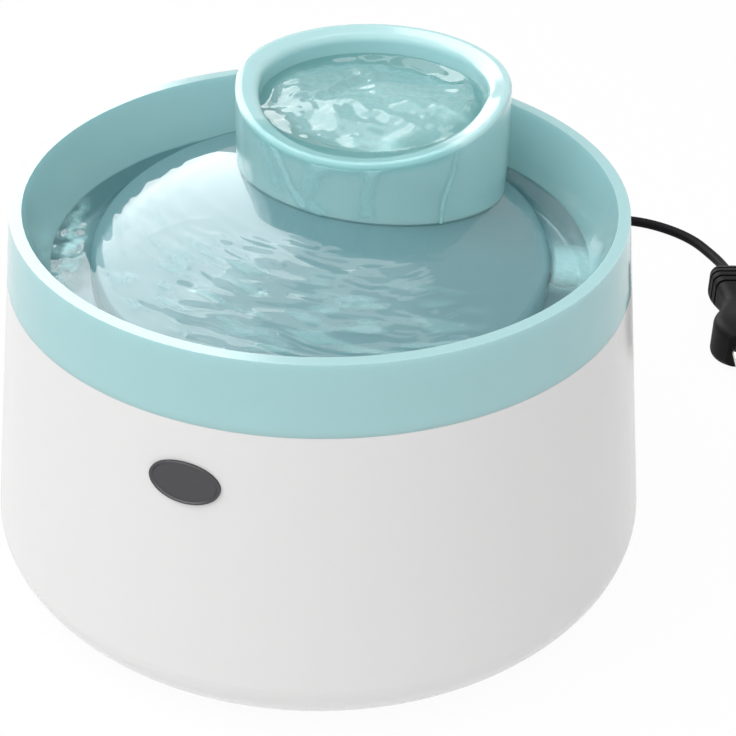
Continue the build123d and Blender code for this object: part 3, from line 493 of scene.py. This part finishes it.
# The longer ripples, each a line of places, its half width and its height above the sheet.
long_ripples = [
    (
        [(-67.5, -20.0), (-60.8, -22.9), (-53.4, -26.5), (-44.0, -34.8), (-32.6, -45.1), (-22.6, -49.2)],
        2.2,
        -0.75,
    ),
    ([(-56.4, -8.7), (-51.3, -6.5), (-45.8, -4.8), (-40.9, -4.7), (-36.0, -6.2)], 1.0, 0.22),
    ([(-24.3, -15.8), (-9.8, -23.9), (-2.9, -26.0), (1.2, -24.1)], 1.2, 0.30),
    ([(-11.9, -30.9), (-6.6, -32.8), (3.4, -36.5)], 1.4, 0.40),
    ([(4.3, -36.9), (14.3, -33.4), (28.6, -29.2), (34.6, -30.1)], 1.2, 0.30),
    ([(34.6, -30.1), (24.6, -37.0), (16.7, -42.0), (8.9, -47.6)], 1.2, 0.30),
    ([(3.4, -49.6), (12.6, -49.9), (25.9, -45.8), (37.1, -38.7), (46.8, -34.1)], 1.6, 0.45),
    ([(27.2, -57.1), (39.8, -48.7), (49.7, -39.3), (61.8, -30.5)], 1.1, 0.40),
    ([(30.5, -60.0), (43.0, -51.5), (52.8, -41.8)], 1.1, 0.35),
    ([(67.7, 43.8), (71.7, 21.4), (71.3, 6.3)], 1.4, 0.60),
    ([(-27.3, -22.4), (-18.6, -28.1), (-11.9, -30.9)], 1.4, 0.35),
    ([(-41.2, -29.2), (-32.9, -37.3), (-25.0, -42.1), (-18.8, -42.1)], 1.5, -0.45),
]


def smooth(low, high, value):
    """0 below low, 1 above high, and smooth between."""
    t = min(max((value - low) / (high - low), 0.0), 1.0)
    return t * t * (3 - 2 * t)


def between(start, full, fade, end, angle):
    """1 for an angle from full to fade, falling to 0 at start and end. All but angle in degrees."""
    return smooth(radians(start), radians(full), angle) * (1 - smooth(radians(fade), radians(end), angle))


def drawn_noise(along, across, length, width, seed):
    """Random swell between -1 and 1, in bumps about as long and as wide as the values given."""
    return noise.noise(Vector((along / length, across / width, seed)))


def ripple_noise(x, y, size, seed):
    """Random swell between -1 and 1, in round bumps about as wide as size."""
    return drawn_noise(x, y, size, size, seed)


def bell(x, y, centre, wide, deep):
    """1 at the centre, falling to 0 at about twice the half width and half depth from it."""
    return exp(-(((x - centre[0]) / wide) ** 2 + ((y - centre[1]) / deep) ** 2))


def crest(x, y, line, width):
    """1 on a line of points, falling to 0 at about twice width from it."""
    nearest = 1e9
    for (ax, ay), (bx, by) in zip(line, line[1:]):
        along = ((x - ax) * (bx - ax) + (y - ay) * (by - ay)) / ((bx - ax) ** 2 + (by - ay) ** 2)
        along = min(max(along, 0.0), 1.0)
        nearest = min(nearest, hypot(x - ax - along * (bx - ax), y - ay - along * (by - ay)))
    return exp(-((nearest / width) ** 2))


def around_tower(x, y):
    """Distance from the tower's wall, angle from its spout, and length of the arc that far out."""
    dx, dy = x - tower[0], y - tower[1]
    gap = hypot(dx, dy) - tower_radius
    away = atan2(sin(atan2(dy, dx) - spout), cos(atan2(dy, dx) - spout))
    return gap, away, away * (gap + tower_radius)


def platform_height(x, y):
    """Height of the platform's domed and tilted skin."""
    within = min(hypot(x, y), platform_radius)
    dome = edge_height + tilt_slope * y + sqrt(dome_radius**2 - within**2)
    return dome - dome_radius + dome_rise


def bowl_surface(x, y):
    """Height of the water over the platform and the moat."""
    r = hypot(x, y)
    gap, away, arc = around_tower(x, y)
    past_edge = max(r - platform_radius + edge_start, 0.0)
    sheet = platform_height(x, y) + sheet_depth
    sheet -= sheet_thinning * smooth(*sheet_edge, r) + edge_fall * past_edge**2
    # The sheet runs into the moat's level with a soft bend, as a meniscus does.
    climb = min((sheet - moat_level) / meniscus, meniscus_limit)
    height = moat_level + meniscus * log1p(exp(climb))
    on_sheet = 1 - smooth(platform_radius - 5, platform_radius - 1, r)
    front = between(-85, -25, 30, 62, away)
    lively = on_sheet * smooth(10, 26, gap) * (calm_share + (1 - calm_share) * front)
    bent = gap + ring_bend * drawn_noise(arc, gap, 26, 16, 1.7)
    ring = ring_rise * sin(2 * pi * bent / ring_spacing)
    streak = streak_rise * drawn_noise(arc, bent, 15, 3.4, 4.4)
    fine = fine_rise * front * drawn_noise(arc, bent, 7, 1.9, 9.7)
    height += lively * (ring + streak + fine)
    for rise, size, seed in bowl_swells:
        height += rise * ripple_noise(x, y, size, seed)
    for line, width, rise in long_ripples:
        height += long_ripple_share * rise * crest(x, y, line, width)
    in_moat = smooth(platform_radius + 1, platform_radius + 3, r)
    stirred = in_moat * bell(x, y, *stirred_waves)
    return height + stirred * stirred_rise * ripple_noise(x, y, 4.5, 7.3)


def bowl_froth(x, y):
    """Froth in the bowl: over the drain, where the moat is stirred up, and in streaks in front."""
    r = hypot(x, y)
    gap, away, arc = around_tower(x, y)
    from_drain = hypot(x - drain_froth_place[0], y - drain_froth_place[1])
    over_drain = drain_froth * exp(-((from_drain / drain_froth_radius) ** 4))
    over_drain *= smooth(platform_radius, platform_radius + 2, r)
    bubbles = 0.6 + ripple_noise(x, y * 0.7, 4.0, 3.9) + 0.5 * ripple_noise(x, y, 1.8, 8.2)
    stirred = bell(x, y, *stirred_froth) * max(bubbles, 0.0)
    streaks = smooth(0.0, 0.45, drawn_noise(arc, gap, 13, 3.0, 8.8))
    streaks *= smooth(22, 34, gap) * between(-70, -30, 18, 45, away) * (1 - smooth(*sheet_edge, r))
    return over_drain + stirred + streak_froth * streaks


def spun_disc(name, centre, radii, steps):
    """A flat disc of rings, spun from a line of points about an upright axis."""
    line = bpy.data.meshes.new(name)
    points = [(centre[0] + r / 1000, centre[1], 0.0) for r in radii]
    line.from_pydata(points, [(i, i + 1) for i in range(len(points) - 1)], [])
    disc = bpy.data.objects.new(name, line)
    bpy.context.scene.collection.objects.link(disc)
    bpy.ops.object.select_all(action="DESELECT")
    bpy.context.view_layer.objects.active = disc
    disc.select_set(True)
    bpy.ops.object.mode_set(mode="EDIT")
    bpy.ops.mesh.select_all(action="SELECT")
    bpy.ops.mesh.spin(steps=steps, angle=2 * pi, center=(centre[0], centre[1], 0), axis=(0, 0, 1))
    bpy.ops.mesh.select_all(action="SELECT")
    bpy.ops.mesh.remove_doubles(threshold=0.000005)
    bpy.ops.mesh.normals_make_consistent(inside=False)
    bpy.ops.object.mode_set(mode="OBJECT")
    if disc.data.polygons[0].normal.z < 0:
        disc.data.flip_normals()
    return disc


def pour(piece, water_at):
    """Move each point to its place in the water, and mark its froth and painted glints and how deep its
    tint of painted shade is.
    """
    froth_and_glint_mark = piece.data.attributes.new("froth_and_glint", "FLOAT", "POINT")
    depth_mark = piece.data.attributes.new("depth", "FLOAT", "POINT")
    for vertex in piece.data.vertices:
        place, froth_and_glint, depth = water_at(vertex.co.x, vertex.co.y)
        vertex.co = [length / 1000 for length in place]
        froth_and_glint_mark.data[vertex.index].value = froth_and_glint
        depth_mark.data[vertex.index].value = depth
    for polygon in piece.data.polygons:
        polygon.use_smooth = True


def bowl_water_at(disc_x, disc_y):
    """Place, froth and depth of the bowl's water over a point of its flat disc."""
    x, y = disc_x * 1000, disc_y * 1000
    return (x, y, bowl_surface(x, y)), bowl_froth(x, y), 1.0


# The rings lie closest over the platform's rounded edge.
ring_radii = [0.62 * i for i in range(117)]
ring_radii += [72.6 + 0.36 * i for i in range(18)]
ring_radii += [79.1 + 0.75 * i for i in range(12)]
ring_radii += [moat_radius]
bowl_water = spun_disc("bowl_water", (0, 0), ring_radii, 480)
pour(bowl_water, bowl_water_at)

# The tower stands in the middle of it, so the water under the tower is taken out.
for vertex in bowl_water.data.vertices:
    vertex.select = hypot(vertex.co.x * 1000 - tower[0], vertex.co.y * 1000 - tower[1]) < tower_radius - 1.0
for polygon in bowl_water.data.polygons:
    polygon.select = False
for edge in bowl_water.data.edges:
    edge.select = False
bpy.ops.object.mode_set(mode="EDIT")
bpy.ops.mesh.select_mode(type="VERT")
bpy.ops.mesh.delete(type="VERT")
bpy.ops.object.mode_set(mode="OBJECT")
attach(bowl_water, "bowl")


def clear_water(name, tint_and_painted_shade, head_on):
    """Water: it lets light through with a tint deepened into painted shade, mirrors by angle, and turns
    milky where it froths and where painted glints are marked.
    """
    edge_on_gloss = 0.8
    edge_on_power = 5.0
    froth_and_glint_colour = (0.52, 0.84, 0.86, 1)
    bubble_size = 0.002
    bubble_spread = 0.2
    material = bpy.data.materials.new(name)
    material.use_nodes = True
    tree = material.node_tree
    tree.nodes.clear()
    output = tree.nodes.new("ShaderNodeOutputMaterial")
    depth_mark = tree.nodes.new("ShaderNodeAttribute")
    depth_mark.attribute_name = "depth"
    colour = tree.nodes.new("ShaderNodeMix")
    colour.data_type = "RGBA"
    colour.inputs["A"].default_value = (1, 1, 1, 1)
    # The tint is deeper than clear water's: painted shade over all that lies under the water.
    colour.inputs["B"].default_value = (*tint_and_painted_shade, 1)
    tree.links.new(depth_mark.outputs["Fac"], colour.inputs["Factor"])
    through = tree.nodes.new("ShaderNodeBsdfTransparent")
    tree.links.new(colour.outputs["Result"], through.inputs["Color"])
    mirror = tree.nodes.new("ShaderNodeBsdfGlossy")
    mirror.inputs["Roughness"].default_value = 0.03
    edge_on = tree.nodes.new("ShaderNodeLayerWeight")
    edge_on.inputs["Blend"].default_value = 0.5
    steep = tree.nodes.new("ShaderNodeMath")
    steep.operation = "POWER"
    steep.inputs[1].default_value = edge_on_power
    tree.links.new(edge_on.outputs["Facing"], steep.inputs[0])
    gloss = tree.nodes.new("ShaderNodeMath")
    gloss.operation = "MULTIPLY_ADD"
    gloss.inputs[1].default_value = edge_on_gloss
    gloss.inputs[2].default_value = head_on
    tree.links.new(steep.outputs[0], gloss.inputs[0])
    clear = tree.nodes.new("ShaderNodeMixShader")
    tree.links.new(gloss.outputs[0], clear.inputs["Fac"])
    tree.links.new(through.outputs["BSDF"], clear.inputs[1])
    tree.links.new(mirror.outputs["BSDF"], clear.inputs[2])
    # Milky whiteness: froth, and painted glints where the tower's film is marked.
    milky = tree.nodes.new("ShaderNodeBsdfDiffuse")
    milky.inputs["Color"].default_value = froth_and_glint_colour
    froth_and_glint_mark = tree.nodes.new("ShaderNodeAttribute")
    froth_and_glint_mark.attribute_name = "froth_and_glint"
    place = tree.nodes.new("ShaderNodeTexCoord")
    bubbles = tree.nodes.new("ShaderNodeTexNoise")
    bubbles.inputs["Scale"].default_value = 1.0 / bubble_size
    bubbles.inputs["Detail"].default_value = 2.0
    tree.links.new(place.outputs["Object"], bubbles.inputs["Vector"])
    spread = tree.nodes.new("ShaderNodeMapRange")
    spread.inputs["To Min"].default_value = 1 - bubble_spread
    spread.inputs["To Max"].default_value = 1 + bubble_spread
    tree.links.new(bubbles.outputs["Fac"], spread.inputs["Value"])
    amount = tree.nodes.new("ShaderNodeMath")
    amount.operation = "MULTIPLY"
    amount.use_clamp = True
    tree.links.new(froth_and_glint_mark.outputs["Fac"], amount.inputs[0])
    tree.links.new(spread.outputs["Result"], amount.inputs[1])
    froth_and_glint_mix = tree.nodes.new("ShaderNodeMixShader")
    tree.links.new(amount.outputs[0], froth_and_glint_mix.inputs["Fac"])
    tree.links.new(clear.outputs["Shader"], froth_and_glint_mix.inputs[1])
    tree.links.new(milky.outputs["BSDF"], froth_and_glint_mix.inputs[2])
    tree.links.new(froth_and_glint_mix.outputs["Shader"], output.inputs["Surface"])
    return material


# Its tint darkens the platform and moat under it as painted shade.
bowl_water.data.materials.append(clear_water("bowl_water", (0.65, 0.71, 0.73), head_on=0.046))

# ---- Water in the cup -------------------------------------------------------------------------
# The pump drives water up through the cup's floor, so it heaves in folds, full of fine bubbles, and
# stands a little above the rim's dip.
cup_level = 152.6
cup_radius = 38.6
cup_edge = (33.5, 38.4)
cup_tilt = 0.075
tilt_start = -30
calm_place = (9, 13)
calm_spread = 130
calm_chop = 0.25
chop_rise = 0.95
fine_chop_rise = 0.30
burst_place = (-0.5, 24)
burst_radius = 3.2
burst_rise = 0.4
even_froth = 0.34
middle_froth = 0.08
edge_froth = 0.26
front_froth = 0.42
front_froth_place = (-1, -32)

# Sharp folds: a line of places from the tower's middle, half width and height.
cup_folds = [
    ([(-35.3, -3.5), (-31.7, 8.8), (-22.3, 12.6), (-11.5, 22.0), (-4.6, 27.1), (7.3, 34.8)], 1.8, 0.9),
    ([(-26.2, -1.8), (-15.6, 1.4), (-11.6, 9.3), (-4.7, 19.0), (4.3, 24.0)], 1.5, 1.3),
    ([(-22.8, -4.8), (-13.0, -1.0), (-8.6, 7.0), (-1.5, 16.0)], 1.2, -0.8),
]

# Where the water piles up towards its right: place, half width, half depth and slope.
cup_swells = [
    ((-30.0, 0.0), 3.4, 13.0, 0.32),
    ((-14.0, -13.0), 6.0, 9.0, 0.27),
    ((6.0, -25.0), 6.0, 5.5, 0.23),
    ((9.0, -9.0), 4.5, 5.0, 0.20),
    ((27.0, 7.0), 2.8, 7.0, 0.32),
    ((-2.0, 8.0), 3.2, 5.0, 0.26),
]
half_bell_area = 1.253
root_two = 1.414


def cup_surface(x, y):
    """Height of the water that wells up in the cup."""
    dx, dy = x - tower[0], y - tower[1]
    inner = 1 - smooth(*cup_edge, hypot(dx, dy))
    bend = 3 * ripple_noise(x, y, 12.0, 3.3)
    heave = -cup_tilt * (dx - tilt_start)
    for (cx, cy), wide, deep, slope in cup_swells:
        u, v = dx + bend - cx, dy + bend - cy
        climb = slope * wide * half_bell_area * (1 + erf(u / (wide * root_two)))
        heave += climb * exp(-v * v / (2 * deep * deep))
    calm = exp(-((dx - calm_place[0]) ** 2 + (dy - calm_place[1]) ** 2) / calm_spread)
    chop = chop_rise * ripple_noise(x, y * 1.3, 8.0, 9.1) + fine_chop_rise * ripple_noise(x, y, 3.4, 1.4)
    heave += (calm_chop + (1 - calm_chop) * (1 - calm)) * chop
    for line, width, rise in cup_folds:
        heave += rise * crest(dx, dy, line, width)
    from_burst = hypot(dx - burst_place[0], dy - burst_place[1])
    heave += burst_rise * exp(-((from_burst - burst_radius) ** 2))
    return cup_level + inner * heave


def cup_froth(x, y):
    """Fine bubbles all over the cup: fewest along its edge and most in front."""
    dx, dy = x - tower[0], y - tower[1]
    r = hypot(dx, dy)
    from_front = hypot(dx - front_froth_place[0], (dy - front_froth_place[1]) * 1.5)
    froth_and_glint = even_froth + middle_froth * exp(-((r / 15) ** 2)) - edge_froth * smooth(30, 36, r)
    return froth_and_glint + front_froth * exp(-((from_front / 8) ** 4))


def cup_water_at(disc_x, disc_y):
    """Place, froth and depth of the cup's water over a point of its flat disc."""
    x, y = disc_x * 1000, disc_y * 1000
    return (x, y, cup_surface(x, y)), cup_froth(x, y), 1.0


cup_rings = [0.45 * i for i in range(85)] + [cup_radius]
cup_water = spun_disc("cup_water", (tower[0] / 1000, tower[1] / 1000), cup_rings, 320)
pour(cup_water, cup_water_at)
# Its tint darkens the cup under it as painted shade.
cup_water.data.materials.append(clear_water("cup_water", (0.70, 0.81, 0.80), head_on=0.085))
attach(cup_water, "bowl")

# ---- Water on the tower -----------------------------------------------------------------------
# A skin of water less than a millimetre thick slips over the dip in the rim and clings to the wall
# down to the platform, in tongues that catch the light. The tongues are thickened, and their glints
# are partly painted as milky whiteness along them.
rim_top = 160.5
rim_round = 1.4
rim_outer = tower_radius - rim_round
dip_slope = 0.2194
dip_start = 3.0
dip_blend = 30
crest_radius = 43.8
crest_slope = 1.7 / 5.6
sector = (radians(-58), radians(58))
film_columns = 260
film_rows = 120
film_thickness = 0.30
film_sunk = 0.06
film_inner = 38.2
film_lift = 0.4
outflow_drop = 0.15
outflow_slope = 0.03
highest_on_rim = 3.0
tongue_strength = 1.7
tongue_thickness = 0.35

# Shares of the way down the film: where it leaves the rim's top, and where it reaches the wall.
rim_share = 0.14
round_share = 0.10
wall_share = 1 - rim_share - round_share

# The tongues, each a line of angles in degrees and heights, its half width and its strength, which
# sets both its bulge and its painted glint.
tongues = [
    ([(-31.4, 153.5), (-28.1, 149.1), (-22.4, 142.4), (-15.7, 134.6)], 1.3, 0.55),
    ([(-36.0, 152.0), (-33.0, 146.0), (-28.0, 139.0)], 3.5, 0.22),
    ([(-7.0, 151.0), (-11.6, 144.2), (-13.8, 136.5), (-8.1, 132.6)], 3.4, 0.30),
    ([(15.6, 153.1), (12.7, 147.0), (11.2, 141.6), (10.6, 134.7)], 2.4, 0.34),
    ([(-7.0, 151.5), (4.0, 151.3), (15.0, 152.6)], 3.2, 0.40),
    ([(50.6, 154.1), (48.1, 147.6), (43.9, 138.4), (42.6, 128.7)], 0.9, 0.60),
]


def rim_height(radius, angle):
    """Height of the tower's rim, which dips towards the spout and slopes in to the cup."""
    toward = radius * cos(angle)
    dip = dip_slope * (sqrt((toward - dip_start) ** 2 + dip_blend) + toward - dip_start) / 2
    return rim_top - dip - crest_slope * max(crest_radius - radius, 0)


def outflow_height(radius):
    """Height of the cup's water where it draws down towards the rim."""
    return cup_level - outflow_drop - outflow_slope * (radius - film_inner)


def film_at(grid_x, grid_y):
    """Place, froth-and-glint mark and depth of the film for a point of its flat grid, which runs from -1 to
    1.
    """
    across, down = (grid_x + 1) / 2, (1 - grid_y) / 2
    angle = sector[0] + across * (sector[1] - sector[0])
    turn = spout + angle
    shoulder = rim_height(rim_outer, angle) - rim_round
    bank = smooth(0.0, 0.16, across) * (1 - smooth(0.84, 1.0, across))
    skin = film_thickness * bank - film_sunk
    froth_and_glint = 0.0
    if down < rim_share:
        radius = film_inner + (rim_outer - film_inner) * down / rim_share
        rim = rim_height(radius, angle)
        height = min(max(outflow_height(radius), rim + skin), rim + highest_on_rim)
    elif down < rim_share + round_share:
        lean = (down - rim_share) / round_share * pi / 2
        top = max(outflow_height(rim_outer) - shoulder, rim_round + skin)
        radius = rim_outer + (rim_round + skin) * sin(lean)
        height = shoulder + top * cos(lean)
    else:
        foot = platform_height(tower[0] + tower_radius * cos(turn), tower[1] + tower_radius * sin(turn))
        on_wall = (down - rim_share - round_share) / wall_share
        height = shoulder + (foot + film_lift - shoulder) * on_wall
        wander = ripple_noise(angle * 46, down * 30, 6.0, 5.2)
        for line, width, strength in tongues:
            path = [(radians(degrees) * tower_radius, z) for degrees, z in line]
            # Each tongue adds a mark that thickens the film and whitens it as a painted glint.
            froth_and_glint += tongue_strength * strength * crest(angle * tower_radius + wander, height, path, width)
        radius = tower_radius + skin + bank * (tongue_thickness * min(froth_and_glint, 0.7) + 0.05 * wander)
    place = (tower[0] + radius * cos(turn), tower[1] + radius * sin(turn), height)
    # The tint, painted shade, is strongest over the rim's top and fades out down the wall.
    return place, min(bank * 1.5, 1.0) * min(froth_and_glint, 0.75), bank * (1 - smooth(0.20, 0.34, down))


bpy.ops.object.select_all(action="DESELECT")
bpy.ops.mesh.primitive_grid_add(x_subdivisions=film_columns, y_subdivisions=film_rows, size=2.0)
tower_water = bpy.context.object
tower_water.name = "tower_water"
pour(tower_water, film_at)
lowest = min(tower_water.data.polygons, key=lambda polygon: polygon.center.z)
if lowest.normal.y > 0:
    tower_water.data.flip_normals()
# Its tint darkens the film over the rim as painted shade.
tower_water.data.materials.append(clear_water("tower_water", (0.78, 0.88, 0.88), head_on=0.004))
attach(tower_water, "bowl")

# ---- Mains lead -------------------------------------------------------------------------------
# Round two-core flex in black PVC. It leaves the grommet at the back, hangs down to the table, lies
# in a put-away coil behind the fountain and runs out to the plug. One smooth line is its centre.
lead_radius = 0.00225
coil_centre = (0.043, 0.1965)
coil_outer = 0.0325
coil_turns = 7
turn_points = 16
coil_low = 0.00305
coil_high = 0.00755
change_turns = 0.4
lead_down = [
    (0.0052, 0.10433, 0.0975),
    (0.0052, 0.1420, 0.0975),
    (0.0052, 0.1570, 0.0895),
    (0.0052, 0.1645, 0.0755),
    (0.0052, 0.1655, 0.0540),
    (0.0060, 0.1645, 0.0360),
    (0.0099, 0.1640, 0.0205),
    (0.0191, 0.1640, 0.0087),
    (0.0318, 0.1640, 0.00305),
]
lead_out = [
    (0.0610, 0.1645, 0.0050),
    (0.0810, 0.1715, 0.00225),
    (0.0970, 0.1870, 0.00225),
    (0.1100, 0.2070, 0.00225),
    (0.1285, 0.2225, 0.00225),
    (0.1500, 0.2220, 0.00225),
    (0.1705, 0.2075, 0.00225),
    (0.1800, 0.1865, 0.00225),
    (0.1813, 0.1720, 0.0050),
    (0.1810, 0.1585, 0.0096),
]

# The turns wind inward on the floor up to the middle one, then back outward on top of them.
coil = []
for step in range(coil_turns * turn_points + 1):
    turn = step / turn_points
    angle = radians(-90) + 2 * pi * turn
    inward = min(turn, coil_turns - turn)
    radius = coil_outer - 2 * lead_radius * inward
    change = min(max((turn - coil_turns / 2) / change_turns + 0.5, 0.0), 1.0)
    coil.append(
        (
            coil_centre[0] + radius * cos(angle),
            coil_centre[1] + radius * sin(angle),
            coil_low + (coil_high - coil_low) * change,
        )
    )
lead_points = lead_down + coil + lead_out
lead_curve = bpy.data.curves.new("mains_lead", "CURVE")
lead_curve.dimensions = "3D"
lead_curve.bevel_depth = lead_radius
lead_curve.bevel_resolution = 5
lead_curve.resolution_u = 8
lead_curve.use_fill_caps = True
spline = lead_curve.splines.new("NURBS")
spline.points.add(len(lead_points) - 1)
for point, where in zip(spline.points, lead_points):
    point.co = (*where, 1.0)
spline.order_u = 3
spline.use_endpoint_u = True
mains_lead = bpy.data.objects.new("mains_lead", lead_curve)
bpy.context.scene.collection.objects.link(mains_lead)
lead_pvc = moulded(
    "lead_pvc",
    (0.005, 0.005, 0.006),
    0.5,
    mottle=0.12,
    cloud_size=0.006,
    grain=0.12,
    grain_size=0.0005,
    specular=0.06,
)
mains_lead.data.materials.append(lead_pvc)
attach(mains_lead, "base")
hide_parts("cord_lead", "cord_coil", "cord_tail")

# ---- Coil's tie -------------------------------------------------------------------------------
# A strap of soft black plastic, lapped round the coil's turns. Its face has a fine cross grain.
tie_plastic = moulded(
    "tie_plastic", (0.022, 0.022, 0.023), 0.55, mottle=0.10, cloud_size=0.004, grain=0.45, grain_size=0.0007
)
finish_node("cord_tie", tie_plastic)

# ---- Plug -------------------------------------------------------------------------------------
# A contour plug, moulded in black PVC over its pins and the lead's end, with ribs across its rear
# for the fingers. Its skin is satin and finely pebbled.
plug_pvc = moulded(
    "plug_pvc",
    (0.006, 0.006, 0.007),
    0.55,
    mottle=0.15,
    cloud_size=0.010,
    grain=0.40,
    grain_size=0.0006,
    specular=0.10,
)
finish_node("plug_body", plug_pvc)

# ---- Plug's pins ------------------------------------------------------------------------------
# Two round brass pins, turned and nickel plated, moulded into the plug.
pin_nickel = ground_metal("pin_nickel", (0.72, 0.70, 0.66), 0.20, (300, 6000, 300))
finish_node("plug_pins", pin_nickel)

# ---- Studio -----------------------------------------------------------------------------------
# A pale floor that runs out to white, an even white room, three soft lamps and two reflectors that
# show in gloss alone. The long lens stands a little over half a metre in front of the bowl and
# looks down into it.
floor_size = 8.0
floor_glow = 0.95
room_light = 0.52
lamp_target = Vector((0, 0, 0.12))
bpy.ops.object.select_all(action="DESELECT")
bpy.ops.mesh.primitive_plane_add(size=floor_size, location=(0, 0, 0))
floor = bpy.context.object
floor.name = "floor"
floor_paper = bpy.data.materials.new("floor_paper")
floor_paper.use_nodes = True
tree = floor_paper.node_tree
paper = tree.nodes["Principled BSDF"]
paper.inputs["Base Color"].default_value = (0.9, 0.9, 0.9, 1)
paper.inputs["Roughness"].default_value = 0.9
glow = tree.nodes.new("ShaderNodeEmission")
glow.inputs["Strength"].default_value = 1.0


def background_rays(tree):
    """1 for rays that show the background: straight to the camera, in gloss or through water."""
    path = tree.nodes.new("ShaderNodeLightPath")
    mirrored = tree.nodes.new("ShaderNodeMath")
    mirrored.operation = "MAXIMUM"
    tree.links.new(path.outputs["Is Camera Ray"], mirrored.inputs[0])
    tree.links.new(path.outputs["Is Glossy Ray"], mirrored.inputs[1])
    passed = tree.nodes.new("ShaderNodeMath")
    passed.operation = "MAXIMUM"
    tree.links.new(mirrored.outputs[0], passed.inputs[0])
    tree.links.new(path.outputs["Is Transmission Ray"], passed.inputs[1])
    return passed.outputs[0]


share = tree.nodes.new("ShaderNodeMath")
share.operation = "MULTIPLY"
share.inputs[1].default_value = floor_glow
tree.links.new(background_rays(tree), share.inputs[0])
mix = tree.nodes.new("ShaderNodeMixShader")
tree.links.new(share.outputs[0], mix.inputs["Fac"])
tree.links.new(paper.outputs["BSDF"], mix.inputs[1])
tree.links.new(glow.outputs["Emission"], mix.inputs[2])
tree.links.new(mix.outputs["Shader"], tree.nodes["Material Output"].inputs["Surface"])
floor.data.materials.append(floor_paper)

world = bpy.data.worlds.new("studio")
bpy.context.scene.world = world
world.use_nodes = True
tree = world.node_tree
background = tree.nodes["Background"]
background.inputs["Color"].default_value = (1, 1, 1, 1)
level = tree.nodes.new("ShaderNodeMapRange")
level.inputs["To Min"].default_value = room_light
level.inputs["To Max"].default_value = 1.0
tree.links.new(background_rays(tree), level.inputs["Value"])
tree.links.new(level.outputs["Result"], background.inputs["Strength"])


def softbox(name, azimuth, elevation, distance, size, radiance, lights_up=True, mirrored=True):
    """A soft lamp that faces the bowl, from azimuth 0 straight behind it or 90 on its right."""
    a, e = radians(azimuth), radians(elevation)
    place = Vector((sin(a) * cos(e), cos(a) * cos(e), sin(e))) * distance
    lamp = bpy.data.lights.new(name, "AREA")
    lamp.shape = "RECTANGLE"
    lamp.size, lamp.size_y = size
    lamp.energy = radiance * pi * size[0] * size[1]
    holder = bpy.data.objects.new(name, lamp)
    holder.location = place + lamp_target
    holder.rotation_euler = place.to_track_quat("Z", "Y").to_euler()
    holder.visible_camera = False
    holder.visible_diffuse = lights_up
    holder.visible_glossy = mirrored
    bpy.context.scene.collection.objects.link(holder)


softbox("left_softbox", -106, 53, 1.6, (1.3, 1.3), 1.7)
softbox("front_softbox", 178, 52, 1.6, (1.2, 1.2), 1.05)
softbox("top_softbox", -110, 74, 1.5, (1.3, 1.3), 1.1, mirrored=False)
softbox("back_reflector", -35, 31, 1.3, (1.22, 1.4), 5.0, lights_up=False)
softbox("top_reflector", -8, 69, 1.5, (1.1, 0.6), 2.0, lights_up=False)

bpy.ops.object.select_all(action="DESELECT")
bpy.ops.object.camera_add(
    location=(0.0, -0.5167, 0.4152), rotation=(radians(56.05), radians(-1.09), radians(-1.09))
)
camera = bpy.context.object
camera.name = "camera"
camera.data.lens = 88.04
camera.data.sensor_width = 36.0
bpy.context.scene.camera = camera
bpy.context.scene.view_settings.view_transform = "Standard"
